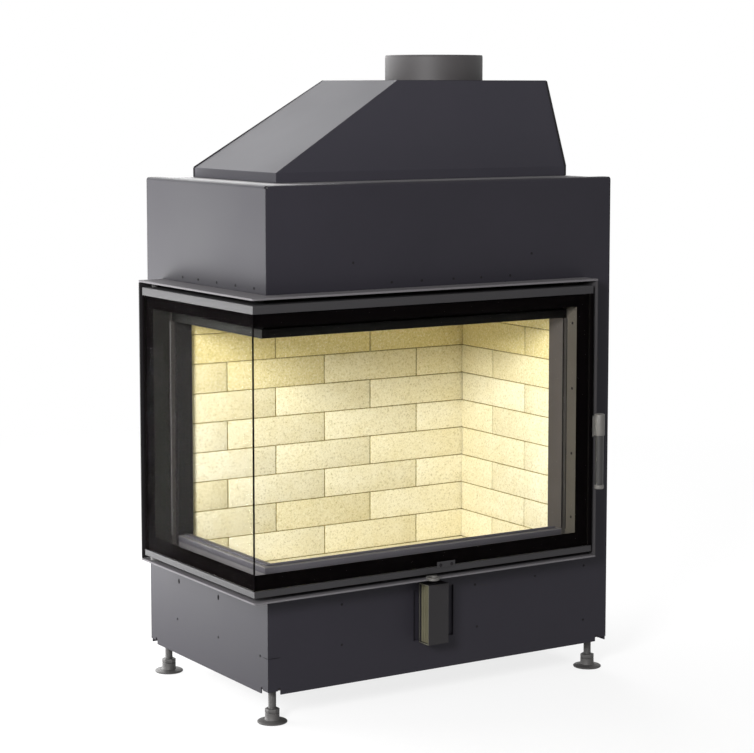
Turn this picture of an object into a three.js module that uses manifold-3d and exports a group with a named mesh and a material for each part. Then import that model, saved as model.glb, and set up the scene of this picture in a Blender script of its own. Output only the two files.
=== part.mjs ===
// Corner fireplace: a steel casing on four levelling feet, with an L-shaped glass door
// at its front-left corner, a brick-lined firebox and a pyramid hood with a round flue collar.
// Millimetres, +Z up. X runs right along the front, Y runs back, and the working frame has
// its zero at the bottom of the casing's near vertical edge.

import * as THREE from 'three';
import { mergeVertices } from 'three/addons/utils/BufferGeometryUtils.js';
import Module from 'manifold-3d';

const wasm = await Module();
wasm.setup();

// ---------------------------------------------------------------- driving dimensions
const gap = 0.3;                 // between faces that touch
const slideFit = 0.5;            // between a sliding piece and its guide

// casing
const casingWidth = 770;
const casingDepth = 470;
const casingHeight = 920;
const sheet = 2;                 // casing sheet
const foldRadius = 6;            // outside radius of the fold along the top
const foldFlange = 24;           // width of the folded top flange
const cornerHole = 3;            // radius of the relief hole at the top corner
const cornerLift = 7;            // the sheet ends this much higher at the corners
const cornerTab = 20;            // width of the lifted corner part
const reliefWidth = 6;
const reliefHeight = 12;
const topPlateThickness = 3;
const basePlateThickness = 3;

// door opening and its surround
const lowerBoxHeight = 182;      // underside of the lower surround shelf
const openingHeight = 544.6;     // from there to the top of the upper shelf
const rightStile = 60.7;         // casing right of the surround
const rearStile = 64;            // casing behind the surround on the left side
const frontReach = 42;           // surround stands out in front of the casing
const leftReach = 50.7;          // and to the left of it
const lowerShelf = 3.5;          // thickness of the lower shelf
const upperShelf = 4;
const sideLip = 3.3;             // thickness of the two upright lips
const shelfInset = 22;           // shelves reach this far inside the casing
const edgeRound = 1.2;

// door
const doorSetback = 1;           // door face behind the front edge of the surround
const doorSetbackLeft = 0.7;     // and behind its left edge
const doorGapBelow = 8.5;
const doorGapAbove = 8.6;
const doorGapRight = 7;
const doorGapRear = 11;
const doorDepth = 40;
const topRailHeight = 15.5;
const bottomRailHeight = 12;
const latchStileWidth = 33;
const hingeStileWidth = 35.7;
const stileEdge = 7;             // part of a stile that the glass leaves bare
const stileWall = 3;
const glassThickness = 4;
const glassInset = 0.5;          // glass face behind the door face
const cornerBead = 1.9;          // sealant between the two panes
const gasketSize = 10;
const gasketInset = 1;           // from the edges of rails and stiles
const hingePin = 12;             // diameter
const hingeFit = 0.4;            // radial
const hingeInset = 14;           // hinge axis in front of the door's rear end
const washerDiameter = 28;
const pinSeat = 9;               // depth of a pin in its rail
const clipWidth = 40;
const clipHeight = 11.5;
const clipThickness = 1.2;
const clipLeft = 388;            // from the door's left face
const clipLap = 2.5;             // clip over the rail

// latch
const latchHeight = 440;         // pivot above the casing bottom
const latchSetback = 13;         // pivot behind the door face
const latchThickness = 4;
const latchPlateGap = 1.5;       // between door edge and latch plate
const pivotPin = 8;              // diameter
const strikerPin = 8;
const strikerReach = 25;         // striker behind the pivot
const hookRadius = 9.5;
const toothHeight = 2;           // hook's tooth above the middle of the striker
const hookLean = 4.4;            // hook's mouth opens by this much, so that it drops off freely
const armLift = 11;              // middle of the arm above the pivot
const plateDrop = 22;            // plate below the pivot
const plateFront = 13;           // and in front of it
const plateBack = 8;             // and behind it
const armHeight = 18;
const armNotch = 3;              // small corners of the latch plate
const handleReach = 37;          // grip in front of the pivot
const handleOffset = 4.3;        // and left of the latch plate
const collarDiameter = 20;
const collarHeight = 42;
const collarDrop = 4;            // collar's middle below the arm's
const gripDiameter = 16.6;
const gripLength = 96;
const ringDiameter = 18.6;       // end ring of the grip
const ringHeight = 8;

// inner frame
const frameWall = 3;
const frameDepth = 26;
const lintelDrop = 72;           // frame face above the glass opening
const noseReach = 10;            // air-wash nose in front of the frame face
const noseHeight = 16;
const sillHeight = 49;
const sillWidth = 24;
const sillPorts = 4;
const sillPortPitch = 30;
const sillPortWidth = 18;
const sillPortHeight = 12;
const sillPortLift = 4;          // above the hearth
const sillPortsLeft = 303.5;
const rightPostWidth = 22;
const closureSetback = 4;        // closure strip in front of the surround's rear edge
const rightPostInset = 19;       // from the right lip to the post
const rearPostWidth = 54.7;      // from the rear lip forward
const rearPostReturn = 32;       // its front edge turns into the firebox
const guardHeight = 14;
const guardThickness = 5;
const guardInset = 8;            // behind the frame face

// firebox and lining
const floorLevel = 120;          // underside of the floor plate
const shellPlate = 4;
const hearthLevel = 158;         // top of the hearth slabs
const hearthJoint = 0.6;
const hearthSlabs = 3;
const brickThickness = 30;
const brickTopDrop = 45.3;       // top of the bricks below the upper shelf
const brickLength = 224;
const brickCourses = 9;
const jointWidth = 4;
const jointDepth = 4;
const fireDepth = 360;           // face of the back bricks from the front of the casing
const fireRightInset = 102;      // face of the right bricks from the right of the casing
const rightBricksFront = 55;
const supportWidth = 60;
const supportWall = 3;
const supportSpacing = 440;
const supportCentre = 370;
const supportInset = 34;
const baffleThickness = 25;
const baffleFront = 96;          // smoke gap in front of the baffle
const baffleLeft = 60;
const railSize = 22;
const railWall = 3;
const throatSkirt = 18;
const throatLap = 8;             // throat over the edge of the shelves

// hood and flue
const hoodLeft = 101.4;
const hoodRightInset = 3.4;
const hoodFront = 140.5;
const hoodRearInset = 4;
const hoodBand = 18.4;           // upright band at its foot
const hoodSlope = 170.2;
const hoodTopLeft = 387.2;
const hoodTopRightInset = 28.7;
const hoodTopFront = 172.5;
const hoodTopRearInset = 18.1;
const hoodWall = 3;
const smokeHoleInset = 14;
const collarOuter = 195.8;
const collarWall = 3;
const collarRise = 50;

// air controls
const windowWidth = 89.5;
const windowHeight = 97;
const windowLeft = 313.5;
const windowBottom = 60;
const gripBoxWidth = 44.5;
const gripBoxDepth = 32.5;
const gripBoxHeight = 114;
const gripBoxLeft = 325.5;
const gripBoxBottom = 56;
const gripBoxWall = 2;
const gripRunGap = 0.5;          // between grip and casing
const gripRibs = 7;
const gripRibDepth = 4;
const neckWidth = 16;
const neckHeight = 34;
const shutterThickness = 3;
const shutterSetback = 2;        // shutter behind the front sheet
const shutterWidth = 118;
const shutterHeight = 100;
const primaryTravelLeft = 24;
const primaryTravelRight = 44;
const guideBar = 8;
const guideSpare = 4;            // guide beyond the shutter at each end of its run
const airBoxWidth = 150;
const airBoxHeight = 135;
const airBoxBottom = 45;
const airBoxWall = 2;
const portWidth = 22;
const portHeight = 60;
const ports = 3;
const portPitch = 33;
const spigotDiameter = 100;
const spigotWall = 2;
const spigotRim = 10;            // flange round the neck, above the base plate
const spigotRimThickness = 4;
const spigotRise = 30;
const spigotDrop = 24;
const spigotX = 385;
const spigotY = 300;

// secondary air tongue
const tongueThickness = 3.2;
const eyeX = 321.5;
const eyeReach = 11;             // eye centre in front of the surround's edge
const eyeRadius = 11.8;
const eyeHole = 11;
const tongueWidth = 20;
const tongueLean = 14;           // tongue root right of the eye
const tongueTravel = 30;
const tonguePlateWidth = 76;
const tonguePlateDepth = 16;
const tonguePlateSetback = 2;    // behind the inner frame
const eyeArc = [0.85 * Math.PI, 2.1 * Math.PI];

// levelling feet
const footInsetX = 24;
const footInsetY = 28;
const footDisc = 55;
const footDiscHeight = 4;
const footSocket = 24;
const footSocketHeight = 14;
const footNut = 24;              // across corners
const footNutHeight = 9;
const footRod = 15;
const footClearance = 57;        // casing bottom above the floor
const rodRise = 60;              // rod above the base plate
const bossDiameter = 32;
const bossHeight = 26;
const rodFit = 0.4;

// ---------------------------------------------------------------- levels and planes
const shelfTop = lowerBoxHeight + lowerShelf;
const openingTop = lowerBoxHeight + openingHeight;
const upperShelfBottom = openingTop - upperShelf;
const rightLipX = casingWidth - rightStile - sideLip;
const rearLipY = casingDepth - rearStile - sideLip;

const doorFront = -frontReach + doorSetback;
const doorLeft = -leftReach + doorSetbackLeft;
const doorRight = rightLipX - doorGapRight;
const doorRear = rearLipY - doorGapRear;
const doorBottom = shelfTop + doorGapBelow;
const doorTop = upperShelfBottom - doorGapAbove;
const doorInnerFront = doorFront + doorDepth;
const doorInnerLeft = doorLeft + doorDepth;
const glassBottom = doorBottom + bottomRailHeight;
const glassTop = doorTop - topRailHeight;
const hingeX = doorLeft + doorDepth / 2;
const hingeY = doorRear - hingeInset;

const frameFront = doorInnerFront + gasketSize + 2 * gap;
const frameLeft = doorInnerLeft + gasketSize + 2 * gap;
const frameBottom = shelfTop + gap;
const frameTop = upperShelfBottom - gap;
const rightPostX = rightLipX - rightPostInset - rightPostWidth;
const rearPostY = rearLipY - rearPostWidth;
const sillTop = frameBottom + sillHeight;
const lintelBottom = frameTop - lintelDrop;

const innerWallFront = frameFront + sillWidth;
const innerWallLeft = frameLeft + sillWidth;
const floorTop = floorLevel + shellPlate;
const bricksBottom = floorTop + gap;
const bricksTop = upperShelfBottom - brickTopDrop;
const brickHeight = (bricksTop - hearthLevel) / brickCourses;
const fireWidth = casingWidth - fireRightInset;
const backPlateY = fireDepth + brickThickness + gap;
const sidePlateX = fireWidth + brickThickness + gap;
const shellTop = openingTop;
const backLeft = shelfInset + gap;
const backBricksLeft = frameLeft + rearPostReturn + gap;

const topPlateTop = casingHeight - sheet - gap;
const topPlateBottom = topPlateTop - topPlateThickness;
const baseBottom = cornerLift + gap;
const baseTop = baseBottom + basePlateThickness;

const hoodBottom = topPlateTop + gap;
const hoodTop = hoodBottom + hoodBand + hoodSlope;
const hoodFoot = [hoodLeft, casingWidth - hoodRightInset, hoodFront, casingDepth - hoodRearInset];
const hoodHead = [hoodTopLeft, casingWidth - hoodTopRightInset, hoodTopFront,
  casingDepth - hoodTopRearInset];
const collarX = (hoodHead[0] + hoodHead[1]) / 2;
const collarY = (hoodHead[2] + hoodHead[3]) / 2;
const footBottom = -footClearance;

// ---------------------------------------------------------------- shaping helpers
function solidOf(geometry) {
  geometry.deleteAttribute('normal');
  geometry.deleteAttribute('uv');
  const merged = mergeVertices(geometry, 1e-4);
  const vertProperties = new Float32Array(merged.attributes.position.array);
  const triVerts = new Uint32Array(merged.index.array);
  return new wasm.Manifold(new wasm.Mesh({ numProp: 3, vertProperties, triVerts }));
}

function joined(solids) {
  return solids.reduce((whole, solid) => whole.add(solid));
}

function block(x0, x1, y0, y1, z0, z1) {
  const box = new THREE.BoxGeometry(x1 - x0, y1 - y0, z1 - z0);
  box.translate((x0 + x1) / 2, (y0 + y1) / 2, (z0 + z1) / 2);
  return solidOf(box);
}

// an upright rod from start to end, and one along X
function rodZ(radius, start, end, x, y, sides = 32, topRadius = radius) {
  const rod = new THREE.CylinderGeometry(topRadius, radius, end - start, sides);
  rod.rotateX(Math.PI / 2);
  rod.translate(x, y, (start + end) / 2);
  return solidOf(rod);
}

function rodX(radius, start, end, y, z, sides = 24) {
  const rod = new THREE.CylinderGeometry(radius, radius, end - start, sides);
  rod.rotateZ(Math.PI / 2);
  rod.translate((start + end) / 2, y, z);
  return solidOf(rod);
}

function outline(points) {
  return new THREE.Shape(points.map(([u, v]) => new THREE.Vector2(u, v)));
}

// a shape drawn in plan, extruded upwards, its edges eased by round
function risen(shape, z0, z1, round = 0) {
  const body = new THREE.ExtrudeGeometry(shape, {
    depth: z1 - z0 - 2 * round, bevelEnabled: round > 0, bevelSize: round,
    bevelThickness: round, bevelOffset: -round, bevelSegments: 3, curveSegments: 16,
  });
  body.translate(0, 0, z0 + round);
  return solidOf(body);
}

// a shape drawn in X and Z, extruded from y0 back to y1
function deepened(shape, y0, y1) {
  const body = new THREE.ExtrudeGeometry(shape, { depth: y1 - y0, bevelEnabled: false });
  body.rotateX(Math.PI / 2);
  body.translate(0, y1, 0);
  return solidOf(body);
}

// a shape drawn in Y and Z, extruded from x0 right to x1
function widened(shape, x0, x1, round = 0) {
  const body = new THREE.ExtrudeGeometry(shape, {
    depth: x1 - x0 - 2 * round, bevelEnabled: round > 0, bevelSize: round,
    bevelThickness: round, bevelOffset: -round, bevelSegments: 2, curveSegments: 16,
  });
  const turn = new THREE.Matrix4().makeBasis(
    new THREE.Vector3(0, 1, 0), new THREE.Vector3(0, 0, 1), new THREE.Vector3(1, 0, 0));
  body.applyMatrix4(turn);
  body.translate(x0 + round, 0, 0);
  return solidOf(body);
}

// a block whose top rectangle differs from its foot; each is [left, right, front, back]
function tapered(foot, head, z0, z1) {
  const body = new THREE.BoxGeometry(1, 1, 1);
  const spots = body.attributes.position;
  for (let i = 0; i < spots.count; i += 1) {
    const rect = spots.getZ(i) > 0 ? head : foot;
    const x = spots.getX(i) > 0 ? rect[1] : rect[0];
    const y = spots.getY(i) > 0 ? rect[3] : rect[2];
    spots.setXYZ(i, x, y, spots.getZ(i) > 0 ? z1 : z0);
  }
  return solidOf(body);
}

function shrunk([left, right, front, back], by) {
  return [left + by, right - by, front + by, back - by];
}

// plan of an L that runs along the front and the left side, width deep
function cornerPlan(left, front, right, back, width) {
  return outline([[left, front], [right, front], [right, front + width],
    [left + width, front + width], [left + width, back], [left, back]]);
}

function piece(name, solid, colour, roughness, metalness) {
  const { vertProperties, triVerts } = solid.getMesh();
  const geometry = new THREE.BufferGeometry();
  geometry.setAttribute('position', new THREE.BufferAttribute(vertProperties, 3));
  geometry.setIndex(new THREE.BufferAttribute(triVerts, 1));
  geometry.computeVertexNormals();
  const mesh = new THREE.Mesh(geometry, new THREE.MeshStandardMaterial({
    color: colour, roughness, metalness }));
  mesh.name = name;
  return mesh;
}

const painted = (name, solid) => piece(name, solid, 0x45444a, 0.55, 0.3);
const bareSteel = (name, solid) => piece(name, solid, 0x8a8884, 0.35, 0.9);
const darkSteel = (name, solid) => piece(name, solid, 0x2b2a2c, 0.6, 0.4);
const zincSteel = (name, solid) => piece(name, solid, 0xa3a5a8, 0.4, 0.9);
const firebrick = (name, solid) => piece(name, solid, 0xcdbd8c, 0.9, 0);
const clearGlass = (name, solid) => piece(name, solid, 0x30302c, 0.05, 0);
const fibre = (name, solid) => piece(name, solid, 0xb4b0a8, 0.95, 0);

// ---------------------------------------------------------------- casing
// face sheet of a side of width across, open between the shelves up to stile
function faceOutline(across, stile) {
  const near = cornerTab;
  const far = across - cornerTab;
  return outline([
    [0, cornerLift], [near, cornerLift], [near, reliefHeight], [near + reliefWidth, reliefHeight],
    [near + reliefWidth, 0], [far - reliefWidth, 0], [far - reliefWidth, reliefHeight],
    [far, reliefHeight], [far, cornerLift], [across, cornerLift],
    [across, casingHeight - foldRadius], [0, casingHeight - foldRadius],
    [0, openingTop + gap], [across - stile, openingTop + gap],
    [across - stile, lowerBoxHeight - gap], [0, lowerBoxHeight - gap]]);
}

// the sheet rolls over at the top into a flange; drawn across the fold
function foldOutline() {
  const fold = new THREE.Shape();
  const top = casingHeight;
  const inner = foldRadius - sheet;
  fold.moveTo(0, top - foldRadius);
  fold.absarc(foldRadius, top - foldRadius, foldRadius, Math.PI, Math.PI / 2, true);
  fold.lineTo(foldFlange, top);
  fold.lineTo(foldFlange, top - sheet);
  fold.lineTo(foldRadius, top - sheet);
  fold.absarc(foldRadius, top - foldRadius, inner, Math.PI / 2, Math.PI, false);
  fold.lineTo(sheet, top - foldRadius - 1);
  fold.lineTo(0, top - foldRadius - 1);
  return fold;
}

// what lies on the far side of the mitre between front and left sheets
function mitre(side) {
  const far = casingWidth;
  const near = -foldFlange;
  const shift = gap / 2;
  const points = side === 'front'
    ? [[near + shift, near], [far + shift, far], [near, far]]
    : [[near, near + shift], [far, near + shift], [far, far + shift]];
  return risen(outline(points), -casingHeight, 2 * casingHeight);
}

function cornerRelief() {
  return rodZ(cornerHole, casingHeight - foldRadius, casingHeight + 1, cornerHole, cornerHole, 16);
}

function frontPanel() {
  const window = block(windowLeft, windowLeft + windowWidth, -1, sheet + 1,
    windowBottom, windowBottom + windowHeight);
  const face = deepened(faceOutline(casingWidth, rightStile), 0, sheet);
  const fold = widened(foldOutline(), 0, casingWidth);
  return painted('front_panel', face.add(fold).subtract(window).subtract(mitre('front'))
    .subtract(cornerRelief()));
}

function leftPanel() {
  const face = widened(faceOutline(casingDepth, rearStile), 0, sheet);
  const turned = new THREE.ExtrudeGeometry(foldOutline(), {
    depth: casingDepth, bevelEnabled: false, curveSegments: 12 });
  turned.rotateX(Math.PI / 2);
  turned.translate(0, casingDepth, 0);
  return painted('left_panel', face.add(solidOf(turned)).subtract(mitre('left'))
    .subtract(cornerRelief()));
}

function rightPanel() {
  return painted('right_panel', block(casingWidth - sheet, casingWidth, sheet + gap, casingDepth,
    0, topPlateBottom - gap));
}

function rearPanel() {
  return painted('rear_panel', block(sheet + gap, casingWidth - sheet - gap,
    casingDepth - sheet, casingDepth, 0, topPlateBottom - gap));
}

function topPlate() {
  const hole = shrunk(hoodFoot, smokeHoleInset);
  const plate = block(foldRadius + gap, casingWidth, foldRadius + gap, casingDepth,
    topPlateBottom, topPlateTop);
  return painted('top_plate', plate.subtract(block(hole[0], hole[1], hole[2], hole[3],
    topPlateBottom - 1, topPlateTop + 1)));
}

const footSpots = [
  ['foot_front_left', footInsetX, footInsetY],
  ['foot_front_right', casingWidth - footInsetX, footInsetY],
  ['foot_rear_left', footInsetX, casingDepth - footInsetY],
  ['foot_rear_right', casingWidth - footInsetX, casingDepth - footInsetY],
];

function basePlate() {
  let plate = block(sheet + gap, casingWidth - sheet - gap, sheet + gap,
    casingDepth - sheet - gap, baseBottom, baseTop);
  for (const [, x, y] of footSpots) {
    plate = plate.add(rodZ(bossDiameter / 2, baseBottom, baseTop + bossHeight, x, y, 24));
    plate = plate.subtract(rodZ(footRod / 2 + rodFit, baseBottom - 1, baseTop + bossHeight + 1,
      x, y, 24));
  }
  return darkSteel('base_plate', plate.subtract(rodZ(spigotDiameter / 2 + gap,
    baseBottom - 1, baseTop + 1, spigotX, spigotY, 40)));
}

// round neck that an outside-air hose is pushed onto, with a collar on the base plate
function airSpigot() {
  const outer = spigotDiameter / 2;
  const neck = rodZ(outer, baseBottom - spigotDrop, baseTop + spigotRise, spigotX, spigotY, 40);
  const rim = rodZ(outer + spigotRim, baseTop + gap, baseTop + gap + spigotRimThickness,
    spigotX, spigotY, 40);
  const bore = rodZ(outer - spigotWall, baseBottom - spigotDrop - 1, baseTop + spigotRise + 1,
    spigotX, spigotY, 40);
  return zincSteel('air_spigot', neck.add(rim).subtract(bore));
}

function levellingFoot([name, x, y]) {
  const socketBottom = footBottom + footDiscHeight;
  const socketTop = socketBottom + footSocketHeight;
  const disc = rodZ(footDisc / 2, footBottom, socketBottom, x, y, 48, footDisc / 2 - 1.5);
  const socket = rodZ(footSocket / 2 + 2, socketBottom - 1, socketTop, x, y, 32, footSocket / 2);
  const nut = rodZ(footNut / 2, socketTop - 1, socketTop + footNutHeight, x, y, 6);
  const rod = rodZ(footRod / 2, socketTop, baseTop + rodRise, x, y, 24);
  return zincSteel(name, joined([disc, socket, nut, rod]));
}

// ---------------------------------------------------------------- surround of the door
function shelf(name, z0, z1) {
  const plan = new THREE.Shape();
  const left = -leftReach;
  const front = -frontReach;
  const right = rightLipX + sideLip;
  const back = rearLipY + sideLip;
  const corner = 4;
  plan.moveTo(left + corner, front);
  plan.lineTo(right, front);
  plan.lineTo(right, shelfInset);
  plan.lineTo(shelfInset, shelfInset);
  plan.lineTo(shelfInset, back);
  plan.lineTo(left, back);
  plan.lineTo(left, front + corner);
  plan.absarc(left + corner, front + corner, corner, Math.PI, 1.5 * Math.PI, false);
  const plate = risen(plan, z0, z1, edgeRound);
  const pinHole = rodZ(hingePin / 2 + hingeFit, z0 - 1, z1 + 1, hingeX, hingeY, 24);
  return bareSteel(name, plate.subtract(pinHole));
}

function rightLip() {
  const shape = outline([[rightLipX, -frontReach], [rightLipX + sideLip, -frontReach],
    [rightLipX + sideLip, shelfInset], [rightLipX, shelfInset]]);
  return bareSteel('right_lip', risen(shape, frameBottom, frameTop, edgeRound));
}

function rearLip() {
  const shape = outline([[-leftReach, rearLipY], [shelfInset, rearLipY],
    [shelfInset, rearLipY + sideLip], [-leftReach, rearLipY + sideLip]]);
  return bareSteel('rear_lip', risen(shape, frameBottom, frameTop, edgeRound));
}

// ---------------------------------------------------------------- inner frame
function lintel() {
  const right = rightPostX - gap;
  const back = rearPostY - gap;
  const face = risen(cornerPlan(frameLeft, frameFront, right, back, frameWall),
    lintelBottom, frameTop);
  const nose = risen(cornerPlan(frameLeft - noseReach, frameFront - noseReach, right, back,
    noseReach + frameWall), lintelBottom, lintelBottom + noseHeight);
  const flange = risen(cornerPlan(frameLeft, frameFront, right, back, frameDepth),
    lintelBottom, lintelBottom + frameWall);
  return darkSteel('lintel', joined([face, nose, flange]));
}

// hollow sill: outer wall, top and inner wall round the corner; the outer wall has a slot
// at its foot for the secondary air tongue, the inner one ports for the primary air
function sill() {
  const right = rightPostX - gap;
  const back = rearPostY - gap;
  const outer = risen(cornerPlan(frameLeft, frameFront, right, back, frameWall),
    frameBottom, sillTop);
  const top = risen(cornerPlan(frameLeft, frameFront, right, back, sillWidth + frameWall),
    sillTop - frameWall, sillTop);
  const inner = risen(cornerPlan(innerWallLeft, innerWallFront, right, back, frameWall),
    bricksBottom, sillTop);
  const root = eyeX + tongueLean;
  const half = tongueWidth / 2 + tongueTravel + 2;
  const slot = block(root - half, root + half, frameFront - 1, frameFront + frameWall + 1,
    frameBottom - 1, frameBottom + tongueThickness + slideFit);
  let walls = joined([outer, top, inner]).subtract(slot);
  const portBottom = hearthLevel + sillPortLift;
  for (let i = 0; i < sillPorts; i += 1) {
    const x = sillPortsLeft + i * sillPortPitch;
    walls = walls.subtract(block(x, x + sillPortWidth, innerWallFront - 1,
      innerWallFront + frameWall + 1, portBottom, portBottom + sillPortHeight));
  }
  return darkSteel('sill', walls);
}

function rightPost() {
  const left = rightPostX;
  const right = rightPostX + rightPostWidth;
  const lip = rightLipX - gap;
  const closureY = shelfInset - closureSetback;
  const plan = outline([
    [left, frameFront], [right, frameFront], [right, closureY], [lip, closureY],
    [lip, closureY + frameWall], [right - frameWall, closureY + frameWall],
    [right - frameWall, frameFront + frameWall], [left + frameWall, frameFront + frameWall],
    [left + frameWall, rightBricksFront - gap], [left, rightBricksFront - gap]]);
  return darkSteel('right_post', risen(plan, frameBottom, frameTop));
}

function rearPost() {
  const lip = rearLipY - gap;
  const plan = outline([
    [frameLeft, rearPostY], [frameLeft + rearPostReturn, rearPostY],
    [frameLeft + rearPostReturn, rearPostY + frameWall],
    [frameLeft + frameWall, rearPostY + frameWall], [frameLeft + frameWall, lip],
    [frameLeft, lip]]);
  return darkSteel('rear_post', risen(plan, frameBottom, frameTop));
}

function logGuard() {
  const plan = cornerPlan(frameLeft + guardInset, frameFront + guardInset,
    rightPostX - 2 * gap - guardInset, rearPostY - guardInset, guardThickness);
  return darkSteel('log_guard', risen(plan, sillTop + gap, sillTop + gap + guardHeight, 1));
}

// ---------------------------------------------------------------- firebox
function floorPlate() {
  return darkSteel('firebox_floor', block(innerWallLeft, sidePlateX + shellPlate,
    innerWallFront, backPlateY + shellPlate, floorLevel, floorTop));
}

function backPlate() {
  return darkSteel('firebox_back', block(backLeft, sidePlateX + shellPlate,
    backPlateY, backPlateY + shellPlate, bricksBottom, shellTop));
}

function sidePlate() {
  return darkSteel('firebox_side', block(sidePlateX, sidePlateX + shellPlate, shelfInset + gap,
    backPlateY - gap, bricksBottom, shellTop));
}

// smoke throat between the firebox and the hood: a short skirt, then sloping walls
function smokeThroat() {
  const bottom = shellTop + gap;
  const skirtTop = bottom + throatSkirt;
  const near = shelfInset - throatLap;
  const foot = [near, sidePlateX + shellPlate, near, backPlateY + shellPlate];
  const head = shrunk(hoodFoot, smokeHoleInset + gap);
  const top = topPlateBottom - gap;
  const outer = tapered(foot, foot, bottom, skirtTop).add(tapered(foot, head, skirtTop, top));
  const footIn = shrunk(foot, shellPlate);
  const headIn = shrunk(head, shellPlate);
  const inner = tapered(footIn, footIn, bottom - 1, skirtTop)
    .add(tapered(footIn, headIn, skirtTop, top)).add(tapered(headIn, headIn, top, top + 1));
  return darkSteel('smoke_throat', outer.subtract(inner));
}

function supportChannel(name, x) {
  const half = supportWidth / 2;
  const bottom = baseTop + gap;
  const top = floorLevel - gap;
  const profile = outline([[x - half, bottom], [x - half + supportWall, bottom],
    [x - half + supportWall, top - supportWall], [x + half - supportWall, top - supportWall],
    [x + half - supportWall, bottom], [x + half, bottom], [x + half, top], [x - half, top]]);
  return darkSteel(name, deepened(profile, innerWallFront + supportInset,
    backPlateY - supportInset));
}

// grooves of a brick bond on a wall that runs along one axis from its inner corner
function bondGrooves(length, groove) {
  const cuts = [];
  for (let row = 0; row <= brickCourses; row += 1) {
    const z = hearthLevel + row * brickHeight;
    if (z < bricksTop - jointWidth) {
      cuts.push(groove(0, length, z - jointWidth / 2, z + jointWidth / 2));
    }
    const first = row % 2 === 0 ? brickLength : brickLength / 2;
    for (let run = first; run < length; run += brickLength) {
      const top = Math.min(z + brickHeight, bricksTop + 1);
      if (row < brickCourses) {
        cuts.push(groove(run - jointWidth / 2, run + jointWidth / 2, z, top));
      }
    }
  }
  return joined(cuts);
}

function backBricks() {
  const right = fireWidth + brickThickness;
  const wall = block(backBricksLeft, right, fireDepth, fireDepth + brickThickness,
    bricksBottom, bricksTop);
  const groove = (u0, u1, z0, z1) => block(fireWidth - u1, fireWidth - u0 + 1, fireDepth - 1,
    fireDepth + jointDepth, z0, z1);
  return firebrick('bricks_back', wall.subtract(bondGrooves(fireWidth - backBricksLeft - 1, groove)));
}

function rightBricks() {
  const wall = block(fireWidth, fireWidth + brickThickness, rightBricksFront, fireDepth - gap,
    bricksBottom, bricksTop);
  const groove = (u0, u1, z0, z1) => block(fireWidth - 1, fireWidth + jointDepth,
    fireDepth - u1, fireDepth - u0, z0, z1);
  return firebrick('bricks_right', wall.subtract(
    bondGrooves(fireDepth - rightBricksFront + 1, groove)));
}

function hearthSlab(index) {
  const left = innerWallLeft + frameWall + gap;
  const run = (fireWidth - gap - left + hearthJoint) / hearthSlabs;
  const x = left + index * run;
  const plan = outline([[x, innerWallFront + frameWall + gap],
    [x + run - hearthJoint, innerWallFront + frameWall + gap],
    [x + run - hearthJoint, fireDepth - gap], [x, fireDepth - gap]]);
  return firebrick(`hearth_slab_${index + 1}`, risen(plan, bricksBottom, hearthLevel, 2));
}

function baffle(name, start, end) {
  return firebrick(name, block(start, end, baffleFront, fireDepth + brickThickness - 2,
    bricksTop + gap, bricksTop + gap + baffleThickness));
}

// steel angle that carries the front edge of the baffle
function baffleRail() {
  const top = bricksTop;
  const y = baffleFront;
  const angle = outline([[y, top - railSize], [y + railWall, top - railSize],
    [y + railWall, top - railWall], [y + railSize, top - railWall], [y + railSize, top],
    [y, top]]);
  return darkSteel('baffle_rail', widened(angle, frameLeft + frameWall + gap, fireWidth - gap));
}

// ---------------------------------------------------------------- hood
function hood() {
  const bandTop = hoodBottom + hoodBand;
  const outer = tapered(hoodFoot, hoodFoot, hoodBottom, bandTop)
    .add(tapered(hoodFoot, hoodHead, bandTop, hoodTop));
  const footIn = shrunk(hoodFoot, hoodWall);
  const headIn = shrunk(hoodHead, hoodWall);
  const inner = tapered(footIn, footIn, hoodBottom - 1, bandTop)
    .add(tapered(footIn, headIn, bandTop, hoodTop - hoodWall));
  const hole = rodZ(collarOuter / 2 - collarWall, hoodTop - 2 * hoodWall, hoodTop + 1,
    collarX, collarY, 64);
  return painted('hood', outer.subtract(inner).subtract(hole));
}

function flueCollar() {
  const outer = collarOuter / 2;
  const inner = outer - collarWall;
  const ring = new THREE.LatheGeometry([
    new THREE.Vector2(inner, 0), new THREE.Vector2(outer, 0),
    new THREE.Vector2(outer, collarRise - 1), new THREE.Vector2(outer - 1, collarRise),
    new THREE.Vector2(inner, collarRise), new THREE.Vector2(inner, 0)], 64);
  ring.rotateX(Math.PI / 2);
  ring.translate(collarX, collarY, hoodTop + gap);
  return bareSteel('flue_collar', solidOf(ring));
}

// ---------------------------------------------------------------- door
const glassFaceY = doorFront + glassInset;
const glassFaceX = doorLeft + glassInset;
const stileFaceY = glassFaceY + glassThickness + gap;
const stileFaceX = glassFaceX + glassThickness + gap;

function rail(name, z0, z1, pinFrom, pinTo) {
  const bar = risen(cornerPlan(doorLeft, doorFront, doorRight, doorRear, doorDepth), z0, z1, 1);
  return painted(name, bar.subtract(rodZ(hingePin / 2 + gap, pinFrom, pinTo, hingeX, hingeY, 24)));
}

function topRail() {
  return rail('door_top_rail', glassTop, doorTop, doorTop - pinSeat, doorTop + 1);
}

function bottomRail() {
  return rail('door_bottom_rail', doorBottom, glassBottom, doorBottom - 1, doorBottom + pinSeat);
}

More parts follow.
